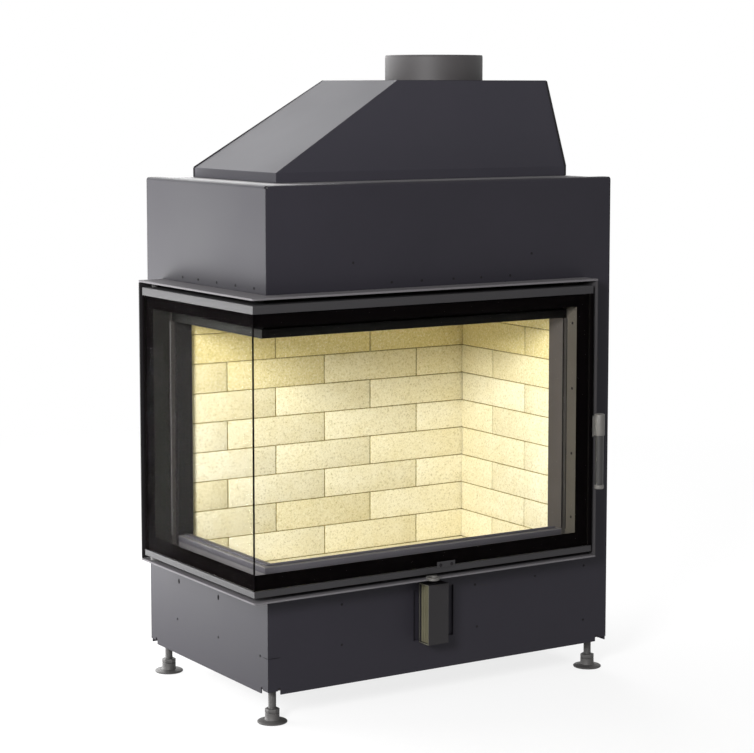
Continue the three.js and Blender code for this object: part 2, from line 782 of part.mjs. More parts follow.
// box-section stile of the side pane, with a bare edge flush with the door's outer face
function hingeStile() {
  const front = doorRear - hingeStileWidth;
  const plan = outline([[doorLeft, doorRear], [doorInnerLeft, doorRear], [doorInnerLeft, front],
    [stileFaceX, front], [stileFaceX, doorRear - stileEdge], [doorLeft, doorRear - stileEdge]]);
  plan.holes.push(outline([[stileFaceX + stileWall, front + stileWall],
    [doorInnerLeft - stileWall, front + stileWall],
    [doorInnerLeft - stileWall, doorRear - stileWall],
    [stileFaceX + stileWall, doorRear - stileWall]]));
  return painted('hinge_stile', risen(plan, glassBottom + gap, glassTop - gap));
}

function latchStile() {
  const left = doorRight - latchStileWidth;
  const plan = outline([[doorRight, doorFront], [doorRight, doorInnerFront], [left, doorInnerFront],
    [left, stileFaceY], [doorRight - stileEdge, stileFaceY], [doorRight - stileEdge, doorFront]]);
  plan.holes.push(outline([[left + stileWall, stileFaceY + stileWall],
    [doorRight - stileWall, stileFaceY + stileWall],
    [doorRight - stileWall, doorInnerFront - stileWall],
    [left + stileWall, doorInnerFront - stileWall]]));
  const bore = rodX(pivotPin / 2 + gap, doorRight - stileWall - 1, doorRight + 1, pivotY, pivotZ);
  return painted('latch_stile', risen(plan, glassBottom + gap, glassTop - gap).subtract(bore));
}

function frontGlass() {
  return clearGlass('front_glass', block(glassFaceX + cornerBead, doorRight - stileEdge - gap,
    glassFaceY, glassFaceY + glassThickness, glassBottom + gap, glassTop - gap));
}

function sideGlass() {
  return clearGlass('side_glass', block(glassFaceX, glassFaceX + glassThickness, stileFaceY,
    doorRear - stileEdge - gap, glassBottom + gap, glassTop - gap));
}

function cornerSeal() {
  return darkSteel('corner_bead', block(glassFaceX, glassFaceX + cornerBead - gap,
    glassFaceY, glassFaceY + glassThickness, glassBottom + gap, glassTop - gap));
}

// rope gasket in one loop round the inner faces of rails and stiles
function doorGasket() {
  const left = doorInnerLeft + gap;
  const front = doorInnerFront + gap;
  const right = doorRight - latchStileWidth + gasketInset + gasketSize;
  const rear = doorRear - hingeStileWidth + gasketInset + gasketSize;
  const low = doorBottom + gasketInset;
  const high = doorTop - gasketInset;
  const plan = cornerPlan(left, front, right, rear, gasketSize);
  const [sillZ, headZ] = [low + gasketSize, high - gasketSize];
  return fibre('door_gasket', risen(plan, low, high)
    .subtract(block(left - 1, right - gasketSize, front - 1, front + gasketSize + 1, sillZ, headZ))
    .subtract(block(left - 1, left + gasketSize + 1, front - 1, rear - gasketSize, sillZ, headZ)));
}

function glassClip() {
  const left = doorLeft + clipLeft;
  const bottom = glassBottom - clipLap;
  return painted('glass_clip', block(left, left + clipWidth, doorFront - gap - clipThickness,
    doorFront - gap, bottom, bottom + clipHeight));
}

function topPin() {
  return zincSteel('hinge_pin_top', rodZ(hingePin / 2, doorTop - pinSeat + gap,
    openingTop - edgeRound, hingeX, hingeY, 24));
}

function bottomPin() {
  return zincSteel('hinge_pin_bottom', rodZ(hingePin / 2, lowerBoxHeight + edgeRound,
    doorBottom + pinSeat - gap, hingeX, hingeY, 24));
}

// thrust ring between the lower shelf and the door
function hingeWasher() {
  const ring = rodZ(washerDiameter / 2, shelfTop + gap, doorBottom - gap, hingeX, hingeY, 32);
  return zincSteel('hinge_washer', ring.subtract(rodZ(hingePin / 2 + hingeFit, shelfTop,
    doorBottom, hingeX, hingeY, 24)));
}

// ---------------------------------------------------------------- latch
const pivotY = doorFront + latchSetback;
const pivotZ = latchHeight;
const latchLeft = doorRight + latchPlateGap;
const latchRight = latchLeft + latchThickness;
const handleX = (latchLeft + latchRight) / 2 - handleOffset;
const handleY = pivotY - handleReach;
const strikerY = pivotY + strikerReach;
const collarBottom = pivotZ + armLift - collarDrop - collarHeight / 2;

function latchPlate() {
  const armFront = handleY + collarDiameter / 2 + gap;
  const armBottom = pivotZ + armLift - armHeight / 2;
  const front = pivotY - plateFront;
  const plate = widened(outline([
    [armFront, armBottom], [front - armNotch, armBottom],
    [front, pivotZ - plateDrop + armNotch], [front + armNotch, pivotZ - plateDrop],
    [pivotY + plateBack, pivotZ - plateDrop], [strikerY, pivotZ - hookRadius],
    [strikerY, pivotZ + toothHeight], [pivotY + plateBack + 2, pivotZ + toothHeight],
    [pivotY, armBottom + armHeight], [armFront, armBottom + armHeight]]), latchLeft, latchRight);
  const hook = rodX(hookRadius, latchLeft, latchRight, strikerY, pivotZ, 32);
  const seat = strikerPin / 2 + gap;
  const high = pivotZ + 2 * hookRadius;
  const aboveTooth = widened(outline([[strikerY - seat, pivotZ], [strikerY, pivotZ],
    [strikerY, pivotZ + toothHeight], [strikerY + 2 * hookRadius, pivotZ + toothHeight],
    [strikerY + 2 * hookRadius, high], [strikerY - seat - hookLean, high]]),
  latchLeft - 1, latchRight + 1);
  const notch = rodX(seat, latchLeft - 1, latchRight + 1, strikerY, pivotZ)
    .add(block(latchLeft - 1, latchRight + 1, strikerY - seat, strikerY + seat,
      pivotZ, pivotZ + 2 * hookRadius));
  const bore = rodX(pivotPin / 2 + gap, latchLeft - 1, latchRight + 1, pivotY, pivotZ);
  return bareSteel('latch_plate', plate.add(hook).subtract(aboveTooth).subtract(notch)
    .subtract(bore));
}

function latchPivot() {
  return zincSteel('latch_pivot', rodX(pivotPin / 2, doorRight - stileWall - pinSeat,
    (latchRight + rightLipX) / 2, pivotY, pivotZ));
}

function latchStriker() {
  return zincSteel('latch_striker', rodX(strikerPin / 2, latchLeft, rightLipX - gap,
    strikerY, pivotZ));
}

// round piece turned about the handle's axis; points are [radius, height]
function turned(points, z) {
  const body = new THREE.LatheGeometry(points.map(([r, h]) => new THREE.Vector2(r, h)), 32);
  body.rotateX(Math.PI / 2);
  body.translate(handleX, handleY, z);
  return solidOf(body);
}

function handleCollar() {
  const radius = collarDiameter / 2;
  return bareSteel('handle_collar', turned([[0, 0], [radius - 1, 0], [radius, 1],
    [radius, collarHeight - 2], [radius - 2, collarHeight], [0, collarHeight]], collarBottom));
}

function handleGrip() {
  const radius = gripDiameter / 2;
  const ring = ringDiameter / 2;
  const length = gripLength + ringHeight;
  return darkSteel('handle_grip', turned([[0, 0], [ring - 1, 0], [ring, 1], [ring, ringHeight - 1],
    [ring - 1, ringHeight], [radius, ringHeight], [radius, length], [0, length]],
  collarBottom - gap - length));
}

// ---------------------------------------------------------------- air controls
const windowCentreX = windowLeft + windowWidth / 2;
const windowCentreZ = windowBottom + windowHeight / 2;
const shutterFront = sheet + gap + shutterSetback;
const shutterBack = shutterFront + shutterThickness;

// blind slide behind the window, with a neck out to the box-shaped grip
function airShutter() {
  const plate = block(windowCentreX - shutterWidth / 2, windowCentreX + shutterWidth / 2,
    shutterFront, shutterBack, windowCentreZ - shutterHeight / 2, windowCentreZ + shutterHeight / 2);
  const neckX = gripBoxLeft + gripBoxWidth / 2;
  const neck = block(neckX - neckWidth / 2, neckX + neckWidth / 2, -gripRunGap + gap,
    shutterFront + 1, windowCentreZ - neckHeight / 2, windowCentreZ + neckHeight / 2);
  return zincSteel('air_shutter', plate.add(neck));
}

function airGrip() {
  const [left, right] = [gripBoxLeft, gripBoxLeft + gripBoxWidth];
  const [front, back] = [-gripRunGap - gripBoxDepth, -gripRunGap];
  const top = gripBoxBottom + gripBoxHeight;
  const wall = gripBoxWall;
  return bareSteel('air_grip', block(left, right, front, back, gripBoxBottom, top).subtract(
    block(left - 1, right - wall, front + wall, back - wall, gripBoxBottom + wall, top - wall)));
}

// ribbed filling that shows in the grip's open side
function airGripCore() {
  const right = gripBoxLeft + gripBoxWidth - gripBoxWall - gap;
  const front = -gripRunGap - gripBoxDepth + gripBoxWall + gap;
  const back = -gripRunGap - gripBoxWall - gap;
  const bottom = gripBoxBottom + gripBoxWall + gap;
  const top = gripBoxBottom + gripBoxHeight - gripBoxWall - gap;
  const face = gripBoxLeft + gripBoxWall + gripRibDepth;
  const pitch = (back - front) / gripRibs;
  const ribs = [block(face, right, front, back, bottom, top)];
  for (let i = 0; i < gripRibs; i += 1) {
    const y = front + i * pitch;
    ribs.push(block(face - gripRibDepth, face + 1, y, y + pitch / 2, bottom, top));
  }
  return darkSteel('air_grip_core', joined(ribs));
}

function shutterGuide(name, z0) {
  return zincSteel(name, block(windowCentreX - shutterWidth / 2 - primaryTravelLeft - guideSpare,
    windowCentreX + shutterWidth / 2 + primaryTravelRight + guideSpare, sheet + gap, shutterBack,
    z0, z0 + guideBar));
}

// shallow box behind the shutter: ports in front, open towards the firebox and below
function airBox() {
  const left = windowCentreX - airBoxWidth / 2;
  const right = windowCentreX + airBoxWidth / 2;
  const front = shutterBack + slideFit;
  const back = innerWallFront - gap;
  const wall = airBoxWall;
  let box = block(left, right, front, back, airBoxBottom, airBoxBottom + airBoxHeight)
    .subtract(block(left + wall, right - wall, front + wall, back + 1, airBoxBottom + wall,
      airBoxBottom + airBoxHeight - wall));
  for (let i = 0; i < ports; i += 1) {
    const x = windowCentreX + (i - (ports - 1) / 2) * portPitch;
    box = box.subtract(block(x - portWidth / 2, x + portWidth / 2, front - 1, front + wall + 1,
      windowCentreZ - portHeight / 2, windowCentreZ + portHeight / 2));
  }
  return darkSteel('air_box', box);
}

// flat slide for the secondary air, with an eye in front of the surround
function airTongue() {
  const eyeY = -frontReach - eyeReach;
  const root = eyeX + tongueLean;
  const half = tongueWidth / 2;
  const plateFrontY = frameFront + frameWall + tonguePlateSetback;
  const plateBackY = plateFrontY + tonguePlateDepth;
  const plateHalf = tonguePlateWidth / 2;
  const plan = new THREE.Shape();
  plan.moveTo(root - plateHalf, plateBackY);
  plan.lineTo(root - plateHalf, plateFrontY);
  plan.lineTo(root - half, plateFrontY);
  plan.lineTo(root - half, doorFront + half);
  plan.absarc(eyeX, eyeY, eyeRadius, ...eyeArc, false);
  plan.lineTo(root + half, doorFront + half);
  plan.lineTo(root + half, plateFrontY);
  plan.lineTo(root + plateHalf, plateFrontY);
  plan.lineTo(root + plateHalf, plateBackY);
  const bottom = shelfTop + gap;
  const top = bottom + tongueThickness;
  return bareSteel('air_tongue', risen(plan, bottom, top)
    .subtract(rodZ(eyeHole / 2, bottom - 1, top + 1, eyeX, eyeY, 32)));
}

// ---------------------------------------------------------------- assembly
// pieces that move together hang from a group at their pivot or runner
function carriage(x, y, z, meshes) {
  const group = new THREE.Group();
  group.position.set(x, y, z);
  for (const mesh of meshes) {
    mesh.position.set(-x, -y, -z);
    group.add(mesh);
  }
  return group;
}

const casing = [frontPanel(), leftPanel(), rightPanel(), rearPanel(), topPlate(), basePlate(),
  airSpigot()];
const surround = [shelf('lower_shelf', lowerBoxHeight, shelfTop),
  shelf('upper_shelf', upperShelfBottom, openingTop), rightLip(), rearLip(), hingeWasher(),
  latchStriker()];
const innerFrame = [lintel(), sill(), rightPost(), rearPost(), logGuard()];
const baffleRight = fireWidth + brickThickness;
const baffleMiddle = (baffleLeft + baffleRight) / 2;
const firebox = [floorPlate(), backPlate(), sidePlate(), smokeThroat(),
  supportChannel('support_left', supportCentre - supportSpacing / 2),
  supportChannel('support_right', supportCentre + supportSpacing / 2),
  backBricks(), rightBricks(), baffleRail(),
  baffle('baffle_left', baffleLeft, baffleMiddle - gap),
  baffle('baffle_right', baffleMiddle, baffleRight)];
for (let i = 0; i < hearthSlabs; i += 1) {
  firebox.push(hearthSlab(i));
}
const airway = [airBox(),
  shutterGuide('shutter_guide_top', windowCentreZ + shutterHeight / 2 + slideFit),
  shutterGuide('shutter_guide_bottom', windowCentreZ - shutterHeight / 2 - slideFit - guideBar)];

const latch = carriage(handleX, pivotY, pivotZ, [latchPlate(), handleCollar(), handleGrip()]);
const door = carriage(hingeX, hingeY, doorBottom, [topRail(), bottomRail(), hingeStile(),
  latchStile(), frontGlass(), sideGlass(), cornerSeal(), doorGasket(), glassClip(), topPin(),
  bottomPin(), latchPivot()]);
const latchOnDoor = new THREE.Group();
latchOnDoor.position.set(-hingeX, -hingeY, -doorBottom);
latchOnDoor.add(latch);
door.add(latchOnDoor);

const fireplace = new THREE.Group();
fireplace.name = 'corner_fireplace';
fireplace.add(...casing, ...surround, ...innerFrame, ...firebox, ...airway, hood(), flueCollar());
fireplace.add(door);
fireplace.add(carriage(gripBoxLeft, 0, gripBoxBottom, [airShutter(), airGrip(), airGripCore()]));
fireplace.add(carriage(eyeX, 0, shelfTop, [airTongue()]));
for (const spot of footSpots) {
  fireplace.add(carriage(spot[1], spot[2], 0, [levellingFoot(spot)]));
}

// the part stands on the floor with its origin under the middle of its outline
const leftMost = -leftReach;
const rightMost = Math.max(casingWidth, casingWidth - footInsetX + footDisc / 2);
const frontMost = handleY - collarDiameter / 2;
const backMost = Math.max(casingDepth, casingDepth - footInsetY + footDisc / 2);
fireplace.position.set(-(leftMost + rightMost) / 2, -(frontMost + backMost) / 2, footClearance);

export default fireplace;
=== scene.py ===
import math
import random

import bmesh
import bpy
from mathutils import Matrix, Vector


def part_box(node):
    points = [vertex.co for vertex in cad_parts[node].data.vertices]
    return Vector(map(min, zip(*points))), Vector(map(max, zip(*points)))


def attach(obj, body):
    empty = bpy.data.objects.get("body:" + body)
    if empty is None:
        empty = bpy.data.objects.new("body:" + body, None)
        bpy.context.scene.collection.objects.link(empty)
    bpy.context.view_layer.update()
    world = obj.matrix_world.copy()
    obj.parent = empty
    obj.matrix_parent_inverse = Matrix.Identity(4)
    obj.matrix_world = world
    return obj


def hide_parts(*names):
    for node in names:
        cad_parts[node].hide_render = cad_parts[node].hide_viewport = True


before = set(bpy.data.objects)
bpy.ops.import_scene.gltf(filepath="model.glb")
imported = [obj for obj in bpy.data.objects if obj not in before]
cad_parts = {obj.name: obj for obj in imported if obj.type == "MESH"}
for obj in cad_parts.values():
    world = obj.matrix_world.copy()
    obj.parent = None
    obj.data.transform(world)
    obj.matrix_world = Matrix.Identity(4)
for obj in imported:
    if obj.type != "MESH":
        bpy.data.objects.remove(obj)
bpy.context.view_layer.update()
scene = bpy.context.scene
scene.view_settings.view_transform = "Standard"
print("frame loaded:", len(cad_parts), "nodes")

mm = 0.001
# zero of the casing is the bottom of its near vertical edge: x right, y back, z up, in millimetres
zero = Vector((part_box("left_panel")[0].x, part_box("front_panel")[0].y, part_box("right_panel")[0].z))


def at(x, y, z):
    return zero + Vector((x, y, z)) * mm


def reach(node):  # x0, x1, y0, y1, z0, z1 of a node
    low, high = [(corner - zero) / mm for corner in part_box(node)]
    return low.x, high.x, low.y, high.y, low.z, high.z


def under(node):  # middle of a node's underside
    x0, x1, y0, y1, z0, z1 = reach(node)
    return at((x0 + x1) / 2, (y0 + y1) / 2, z0)


# camera at the photograph's angle
view = dict(place=(-1885.5, -3348.3, 1090.6), turn=32.31, down=5.96, lens=104.09, sensor=36,
    shiftY=-0.08, clipEnd=60)
camera = bpy.data.cameras.new("camera")
camera.lens, camera.sensor_width, camera.shift_y = view["lens"], view["sensor"], view["shiftY"]
camera.clip_end = view["clipEnd"]
cameraObject = bpy.data.objects.new("camera", camera)
cameraObject.location = at(*view["place"])
cameraObject.rotation_euler = (math.radians(90 - view["down"]), 0, math.radians(-view["turn"]))
scene.collection.objects.link(cameraObject)
scene.camera = cameraObject

# every lamp looks at aim; azimuth 0 stands in front of the casing, a positive one to its right
aim = at(360, 200, 560)
lamps = [
    dict(name="frontLamp", size=(1.0, 1.0), power=236, azimuth=-51, elevation=17, distance=4.2),
    dict(name="leftPanel", size=(2.2, 1.6), power=54, azimuth=-142, elevation=6, distance=1.6),
    dict(name="lowPanel", size=(2.2, 0.5), power=40, azimuth=-139, elevation=-13, distance=1.55),
    dict(name="backPanel", size=(2.6, 1.8), power=110, azimuth=167, elevation=31, distance=3.6),
]
for lamp in lamps:
    data = bpy.data.lights.new(lamp["name"], "AREA")
    data.shape = "RECTANGLE"
    data.size, data.size_y = lamp["size"]
    data.energy = lamp["power"]
    turn, lift = math.radians(lamp["azimuth"]), math.radians(lamp["elevation"])
    away = Vector((math.sin(turn) * math.cos(lift), -math.cos(turn) * math.cos(lift),
        math.sin(lift)))
    lampObject = bpy.data.objects.new(lamp["name"], data)
    lampObject.location = aim + away * lamp["distance"]
    lampObject.rotation_euler = away.to_track_quat("Z", "Y").to_euler()
    scene.collection.objects.link(lampObject)


def backgroundMask(nodes, links):  # 1 for rays that show the background: camera, gloss and glass
    path = nodes.new("ShaderNodeLightPath")
    mask = path.outputs["Is Camera Ray"]
    for ray in ("Is Glossy Ray", "Is Transmission Ray"):
        either = nodes.new("ShaderNodeMath")
        either.operation = "MAXIMUM"
        links.new(mask, either.inputs[0])
        links.new(path.outputs[ray], either.inputs[1])
        mask = either.outputs[0]
    return mask


studio = dict(ambient=0.34, white=1.0)
world = bpy.data.worlds.new("studio")
scene.world = world
world.use_nodes = True
nodes, links = world.node_tree.nodes, world.node_tree.links
nodes.clear()
mixed, worldOut = nodes.new("ShaderNodeMixShader"), nodes.new("ShaderNodeOutputWorld")
links.new(backgroundMask(nodes, links), mixed.inputs[0])
for i, strength in ((1, studio["ambient"]), (2, studio["white"])):
    light = nodes.new("ShaderNodeBackground")
    light.inputs["Color"].default_value = (1, 1, 1, 1)
    light.inputs["Strength"].default_value = strength
    links.new(light.outputs[0], mixed.inputs[i])
links.new(mixed.outputs[0], worldOut.inputs["Surface"])
print("camera and light set")


# effects that several finishes share
def newGroup(name, inputs, outputs):
    group = bpy.data.node_groups.new(name, "ShaderNodeTree")
    for label, kind, value in inputs:
        made = group.interface.new_socket(name=label, in_out="INPUT", socket_type=kind)
        if value is not None:
            made.default_value = value
    for label in outputs:
        group.interface.new_socket(name=label, in_out="OUTPUT", socket_type="NodeSocketFloat")
    return group, group.nodes.new("NodeGroupInput"), group.nodes.new("NodeGroupOutput")


def feed(links, value, inlet):
    if isinstance(value, (int, float)):
        inlet.default_value = value
    elif isinstance(value, tuple):
        inlet.default_value = value if len(value) == len(inlet.default_value) else (*value, 1)
    else:
        links.new(value, inlet)


def mathNode(nodes, links, operation, *values):
    node = nodes.new("ShaderNodeMath")
    node.operation = operation
    for i, value in enumerate(values):
        feed(links, value, node.inputs[i])
    return node.outputs[0]


def rangeNode(nodes, links, value, low, high, outLow=0.0, outHigh=1.0):
    node = nodes.new("ShaderNodeMapRange")
    for label, number in (("Value", value), ("From Min", low), ("From Max", high),
                          ("To Min", outLow), ("To Max", outHigh)):
        feed(links, number, node.inputs[label])
    return node.outputs[0]


def noiseNode(nodes, links, vector, scale, detail=2.0, roughness=0.5):
    node = nodes.new("ShaderNodeTexNoise")
    links.new(vector, node.inputs["Vector"])
    feed(links, scale, node.inputs["Scale"])
    node.inputs["Detail"].default_value = detail
    node.inputs["Roughness"].default_value = roughness
    return node.outputs["Fac"]


vectorIn = ("Vector", "NodeSocketVector", None)
# scales are per metre, and a range is the part of the noise that shows
paintGrain = dict(grain=1100.0, cloud=3.0, cloudRange=(0.3, 0.7))
steelGrain = dict(smear=22.0, smearRange=(0.35, 0.7))
clayGrain = dict(ground=26.0, speck=260.0, pit=120, groundRange=(0.3, 0.72),
    paleRange=(0.5, 0.75), darkRange=(0.44, 0.28), pitRange=(0.3, 0.05), pitDark=0.5, pitDepth=0.4)


def makePowderPaint():  # orange peel of sprayed paint, and a slow cloudiness over the sheet
    group, start, end = newGroup("powderPaint", [vectorIn,
        ("Grain Scale", "NodeSocketFloat", paintGrain["grain"]),
        ("Cloud Scale", "NodeSocketFloat", paintGrain["cloud"])], ["Grain", "Cloud"])
    nodes, links, spot = group.nodes, group.links, start.outputs["Vector"]
    links.new(noiseNode(nodes, links, spot, start.outputs["Grain Scale"]), end.inputs["Grain"])
    cloud = noiseNode(nodes, links, spot, start.outputs["Cloud Scale"], detail=5, roughness=0.6)
    links.new(rangeNode(nodes, links, cloud, *paintGrain["cloudRange"]), end.inputs["Cloud"])
    return group


def makeBrushed():  # long fine scratches, and smears of handling
    group, start, end = newGroup("brushedSteel", [vectorIn, ("Stretch", "NodeSocketVector", None)],
        ["Scratch", "Smear"])
    nodes, links, spot = group.nodes, group.links, start.outputs["Vector"]
    pull = nodes.new("ShaderNodeVectorMath")
    pull.operation = "MULTIPLY"
    links.new(spot, pull.inputs[0])
    links.new(start.outputs["Stretch"], pull.inputs[1])
    links.new(noiseNode(nodes, links, pull.outputs[0], 1.0, detail=3), end.inputs["Scratch"])
    smear = noiseNode(nodes, links, spot, steelGrain["smear"], detail=4)
    links.new(rangeNode(nodes, links, smear, *steelGrain["smearRange"]), end.inputs["Smear"])
    return group


def makeSpecks():  # mineral grain: pale and dark specks, open pits, on a mottled ground
    group, start, end = newGroup("mineralSpecks",
        [vectorIn, ("Speck Scale", "NodeSocketFloat", clayGrain["speck"])],
        ["Ground", "Pale", "Dark", "Height"])
    nodes, links, spot = group.nodes, group.links, start.outputs["Vector"]
    ground = noiseNode(nodes, links, spot, clayGrain["ground"], detail=6)
    specks = noiseNode(nodes, links, spot, start.outputs["Speck Scale"], detail=3, roughness=0.7)
    pits = nodes.new("ShaderNodeTexVoronoi")
    pits.inputs["Scale"].default_value = clayGrain["pit"]
    links.new(spot, pits.inputs["Vector"])
    pit = rangeNode(nodes, links, pits.outputs["Distance"], *clayGrain["pitRange"])
    dark = rangeNode(nodes, links, specks, *clayGrain["darkRange"])
    pitDark = mathNode(nodes, links, "MULTIPLY", pit, clayGrain["pitDark"])
    pitDepth = mathNode(nodes, links, "MULTIPLY", pit, clayGrain["pitDepth"])
    links.new(rangeNode(nodes, links, ground, *clayGrain["groundRange"]), end.inputs["Ground"])
    links.new(rangeNode(nodes, links, specks, *clayGrain["paleRange"]), end.inputs["Pale"])
    links.new(mathNode(nodes, links, "MAXIMUM", dark, pitDark), end.inputs["Dark"])
    links.new(mathNode(nodes, links, "SUBTRACT", specks, pitDepth), end.inputs["Height"])
    return group


powderPaint, brushedSteel, mineralSpecks = makePowderPaint(), makeBrushed(), makeSpecks()


class Finish:  # one material in the making
    def __init__(self, name, roughness=0.5, metallic=0.0, specular=0.5):
        self.material = bpy.data.materials.new(name)
        self.material.use_nodes = True
        self.nodes, self.links = self.material.node_tree.nodes, self.material.node_tree.links
        self.nodes.clear()
        self.shader = self.nodes.new("ShaderNodeBsdfPrincipled")
        self.out = self.nodes.new("ShaderNodeOutputMaterial")
        self.links.new(self.shader.outputs[0], self.out.inputs["Surface"])
        self.spot = self.nodes.new("ShaderNodeTexCoord").outputs["Object"]
        for label, value in (("Roughness", roughness), ("Metallic", metallic),
                             ("Specular IOR Level", specular)):
            self.shader.inputs[label].default_value = value

    def effect(self, tree, **values):
        node = self.nodes.new("ShaderNodeGroup")
        node.node_tree = tree
        self.links.new(self.spot, node.inputs["Vector"])
        for label, value in values.items():
            node.inputs[label].default_value = value
        return node.outputs

    def blend(self, factor, first, second):  # 0, 6, 7 and output 2 are the sockets of a colour mix
        node = self.nodes.new("ShaderNodeMix")
        node.data_type = "RGBA"
        for index, value in ((0, factor), (6, first), (7, second)):
            feed(self.links, value, node.inputs[index])
        return node.outputs[2]

    def spread(self, value, low, high, outLow=0.0, outHigh=1.0):
        return rangeNode(self.nodes, self.links, value, low, high, outLow, outHigh)

    def noise(self, scale, detail=2.0, roughness=0.5):
        return noiseNode(self.nodes, self.links, self.spot, scale, detail, roughness)

    def set(self, label, value):
        feed(self.links, value, self.shader.inputs[label])

    def bump(self, height, distance, strength, edge=0):  # edge rounds the corners that light sees
        node = self.nodes.new("ShaderNodeBump")
        node.inputs["Distance"].default_value = distance
        node.inputs["Strength"].default_value = strength
        self.links.new(height, node.inputs["Height"])
        if edge:
            eased = self.nodes.new("ShaderNodeBevel")
            eased.samples = 4
            eased.inputs["Radius"].default_value = edge
            self.links.new(eased.outputs[0], node.inputs["Normal"])
        self.links.new(node.outputs[0], self.shader.inputs["Normal"])


# powder coat; depth and edge are in metres, as they are in the dictionaries of the next finishes
coat = dict(glossier=0.03, duller=0.04, depth=0.00004, strength=0.5, edge=0.0012)


def sprayed(name, colour, cloudy, roughness, specular, edge=coat["edge"]):
    finish = Finish(name, roughness, specular=specular)
    paint = finish.effect(powderPaint)
    finish.set("Base Color", finish.blend(paint["Cloud"], colour, cloudy))
    finish.set("Roughness", finish.spread(paint["Cloud"], 0, 1, roughness - coat["glossier"],
        roughness + coat["duller"]))
    finish.bump(paint["Grain"], coat["depth"], coat["strength"], edge)
    return finish.material


# brushed steel, whose scratches run up and down
polish = dict(stretch=(900.0, 900.0, 40.0), scratchRange=(0.3, 0.7), glossier=0.08, duller=0.1,
    depth=0.00003, strength=0.5, edge=0.0008)


def satin(name, colour, worn, roughness, metallic):
    finish = Finish(name, roughness, metallic)
    brushed = finish.effect(brushedSteel, Stretch=polish["stretch"])
    finish.set("Base Color", finish.blend(brushed["Smear"], colour, worn))
    finish.set("Roughness", finish.spread(brushed["Scratch"], *polish["scratchRange"],
        roughness - polish["glossier"], roughness + polish["duller"]))
    finish.bump(brushed["Scratch"], polish["depth"], polish["strength"], polish["edge"])
    return finish.material


# firebrick and mortar
grit = dict(roughness=0.92, specular=0.2, mottle=0.3, paleShare=0.5, darkShare=0.7,
    pale=(0.95, 0.93, 0.8), depth=0.0009, strength=0.9)


def clay(name, pale, deep, dark):  # tint is each brick's own share of the deeper colour
    # the tint of the top rows also holds painted shade under the lintel, partly soot
    finish = Finish(name, grit["roughness"], specular=grit["specular"])
    specks = finish.effect(mineralSpecks)
    tint = finish.nodes.new("ShaderNodeAttribute")
    tint.attribute_name = "tint"
    ground = finish.blend(tint.outputs["Fac"], pale, deep)
    mottled = finish.blend(finish.spread(specks["Ground"], 0, 1, 0, grit["mottle"]), ground, deep)
    paleSpecks = finish.spread(specks["Pale"], 0, 1, 0, grit["paleShare"])
    darkSpecks = finish.spread(specks["Dark"], 0, 1, 0, grit["darkShare"])
    light = finish.blend(paleSpecks, mottled, grit["pale"])
    finish.set("Base Color", finish.blend(darkSpecks, light, dark))
    finish.bump(specks["Height"], grit["depth"], grit["strength"])
    return finish.material


def ropeFibre():  # woven glass fibre rope: short slanting yarns
    finish = Finish("gasketRope", roughness=0.95, specular=0.2)
    yarn = finish.nodes.new("ShaderNodeTexWave")
    yarn.bands_direction = "DIAGONAL"
    for label, value in (("Scale", 260), ("Distortion", 2.5), ("Detail", 2)):
        yarn.inputs[label].default_value = value
    finish.links.new(finish.spot, yarn.inputs["Vector"])
    finish.set("Base Color", finish.blend(yarn.outputs["Fac"], (0.022, 0.02, 0.019),
        (0.055, 0.05, 0.047)))
    finish.bump(yarn.outputs["Fac"], 0.0008, 0.8)
    return finish.material


pane = dict(clean=(0.98, 0.98, 0.96), hazy=(0.93, 0.93, 0.9), haze=6.0, bend=1.01,
    clear=(0.97, 0.97, 0.95, 1))


def fireGlass():  # light passes it unbent, so that the firebox is lit
    finish = Finish("fireGlass", roughness=0.0, specular=0.1)
    haze = finish.noise(pane["haze"], detail=5, roughness=0.6)
    finish.set("Base Color", finish.blend(haze, pane["clean"], pane["hazy"]))
    finish.shader.inputs["Transmission Weight"].default_value = 1
    finish.shader.inputs["IOR"].default_value = pane["bend"]
    clear = finish.nodes.new("ShaderNodeBsdfTransparent")
    clear.inputs["Color"].default_value = pane["clear"]
    path = finish.nodes.new("ShaderNodeLightPath")
    mixed = finish.nodes.new("ShaderNodeMixShader")
    unseen = mathNode(finish.nodes, finish.links, "MAXIMUM", path.outputs["Is Shadow Ray"],
        path.outputs["Is Diffuse Ray"])
    finish.links.new(unseen, mixed.inputs[0])
    finish.links.new(finish.shader.outputs[0], mixed.inputs[1])
    finish.links.new(clear.outputs[0], mixed.inputs[2])
    finish.links.new(mixed.outputs[0], finish.out.inputs["Surface"])
    return finish.material


# stiles: blackFrom is how far inside the pane's edge the enamel starts, in millimetres
stile = dict(blackFrom=0.8, black=(0.004, 0.0035, 0.0035), edge=0.0008)


def stileFinish(name, colour, worn):  # painted steel, black from the pane's edge outwards
    finish = Finish(name, roughness=0.75, specular=0.0)
    place = finish.nodes.new("ShaderNodeSeparateXYZ")
    finish.links.new(finish.spot, place.inputs[0])
    inside = stile["blackFrom"]
    edge = at(reach("front_glass")[1] - inside, reach("side_glass")[3] - inside, 0)
    right = mathNode(finish.nodes, finish.links, "GREATER_THAN", place.outputs["X"], edge.x)
    rear = mathNode(finish.nodes, finish.links, "GREATER_THAN", place.outputs["Y"], edge.y)
    black = mathNode(finish.nodes, finish.links, "MAXIMUM", right, rear)
    paint = finish.effect(powderPaint)
    steel = finish.blend(paint["Cloud"], colour, worn)
    finish.set("Base Color", finish.blend(black, steel, stile["black"]))
    finish.bump(paint["Grain"], coat["depth"], coat["strength"], stile["edge"])
    return finish.material


def glassPrintAndSlotShade():  # black enamel fired onto the inner face of the panes; on the casing's slots, painted shade
    finish = Finish("glassPrintAndSlotShade", roughness=0.9, specular=0.0)
    cloud = finish.noise(9.0, detail=4)
    finish.set("Base Color", finish.blend(cloud, (0.0013, 0.001, 0.0012), (0.0026, 0.0021, 0.0023)))
    return finish.material


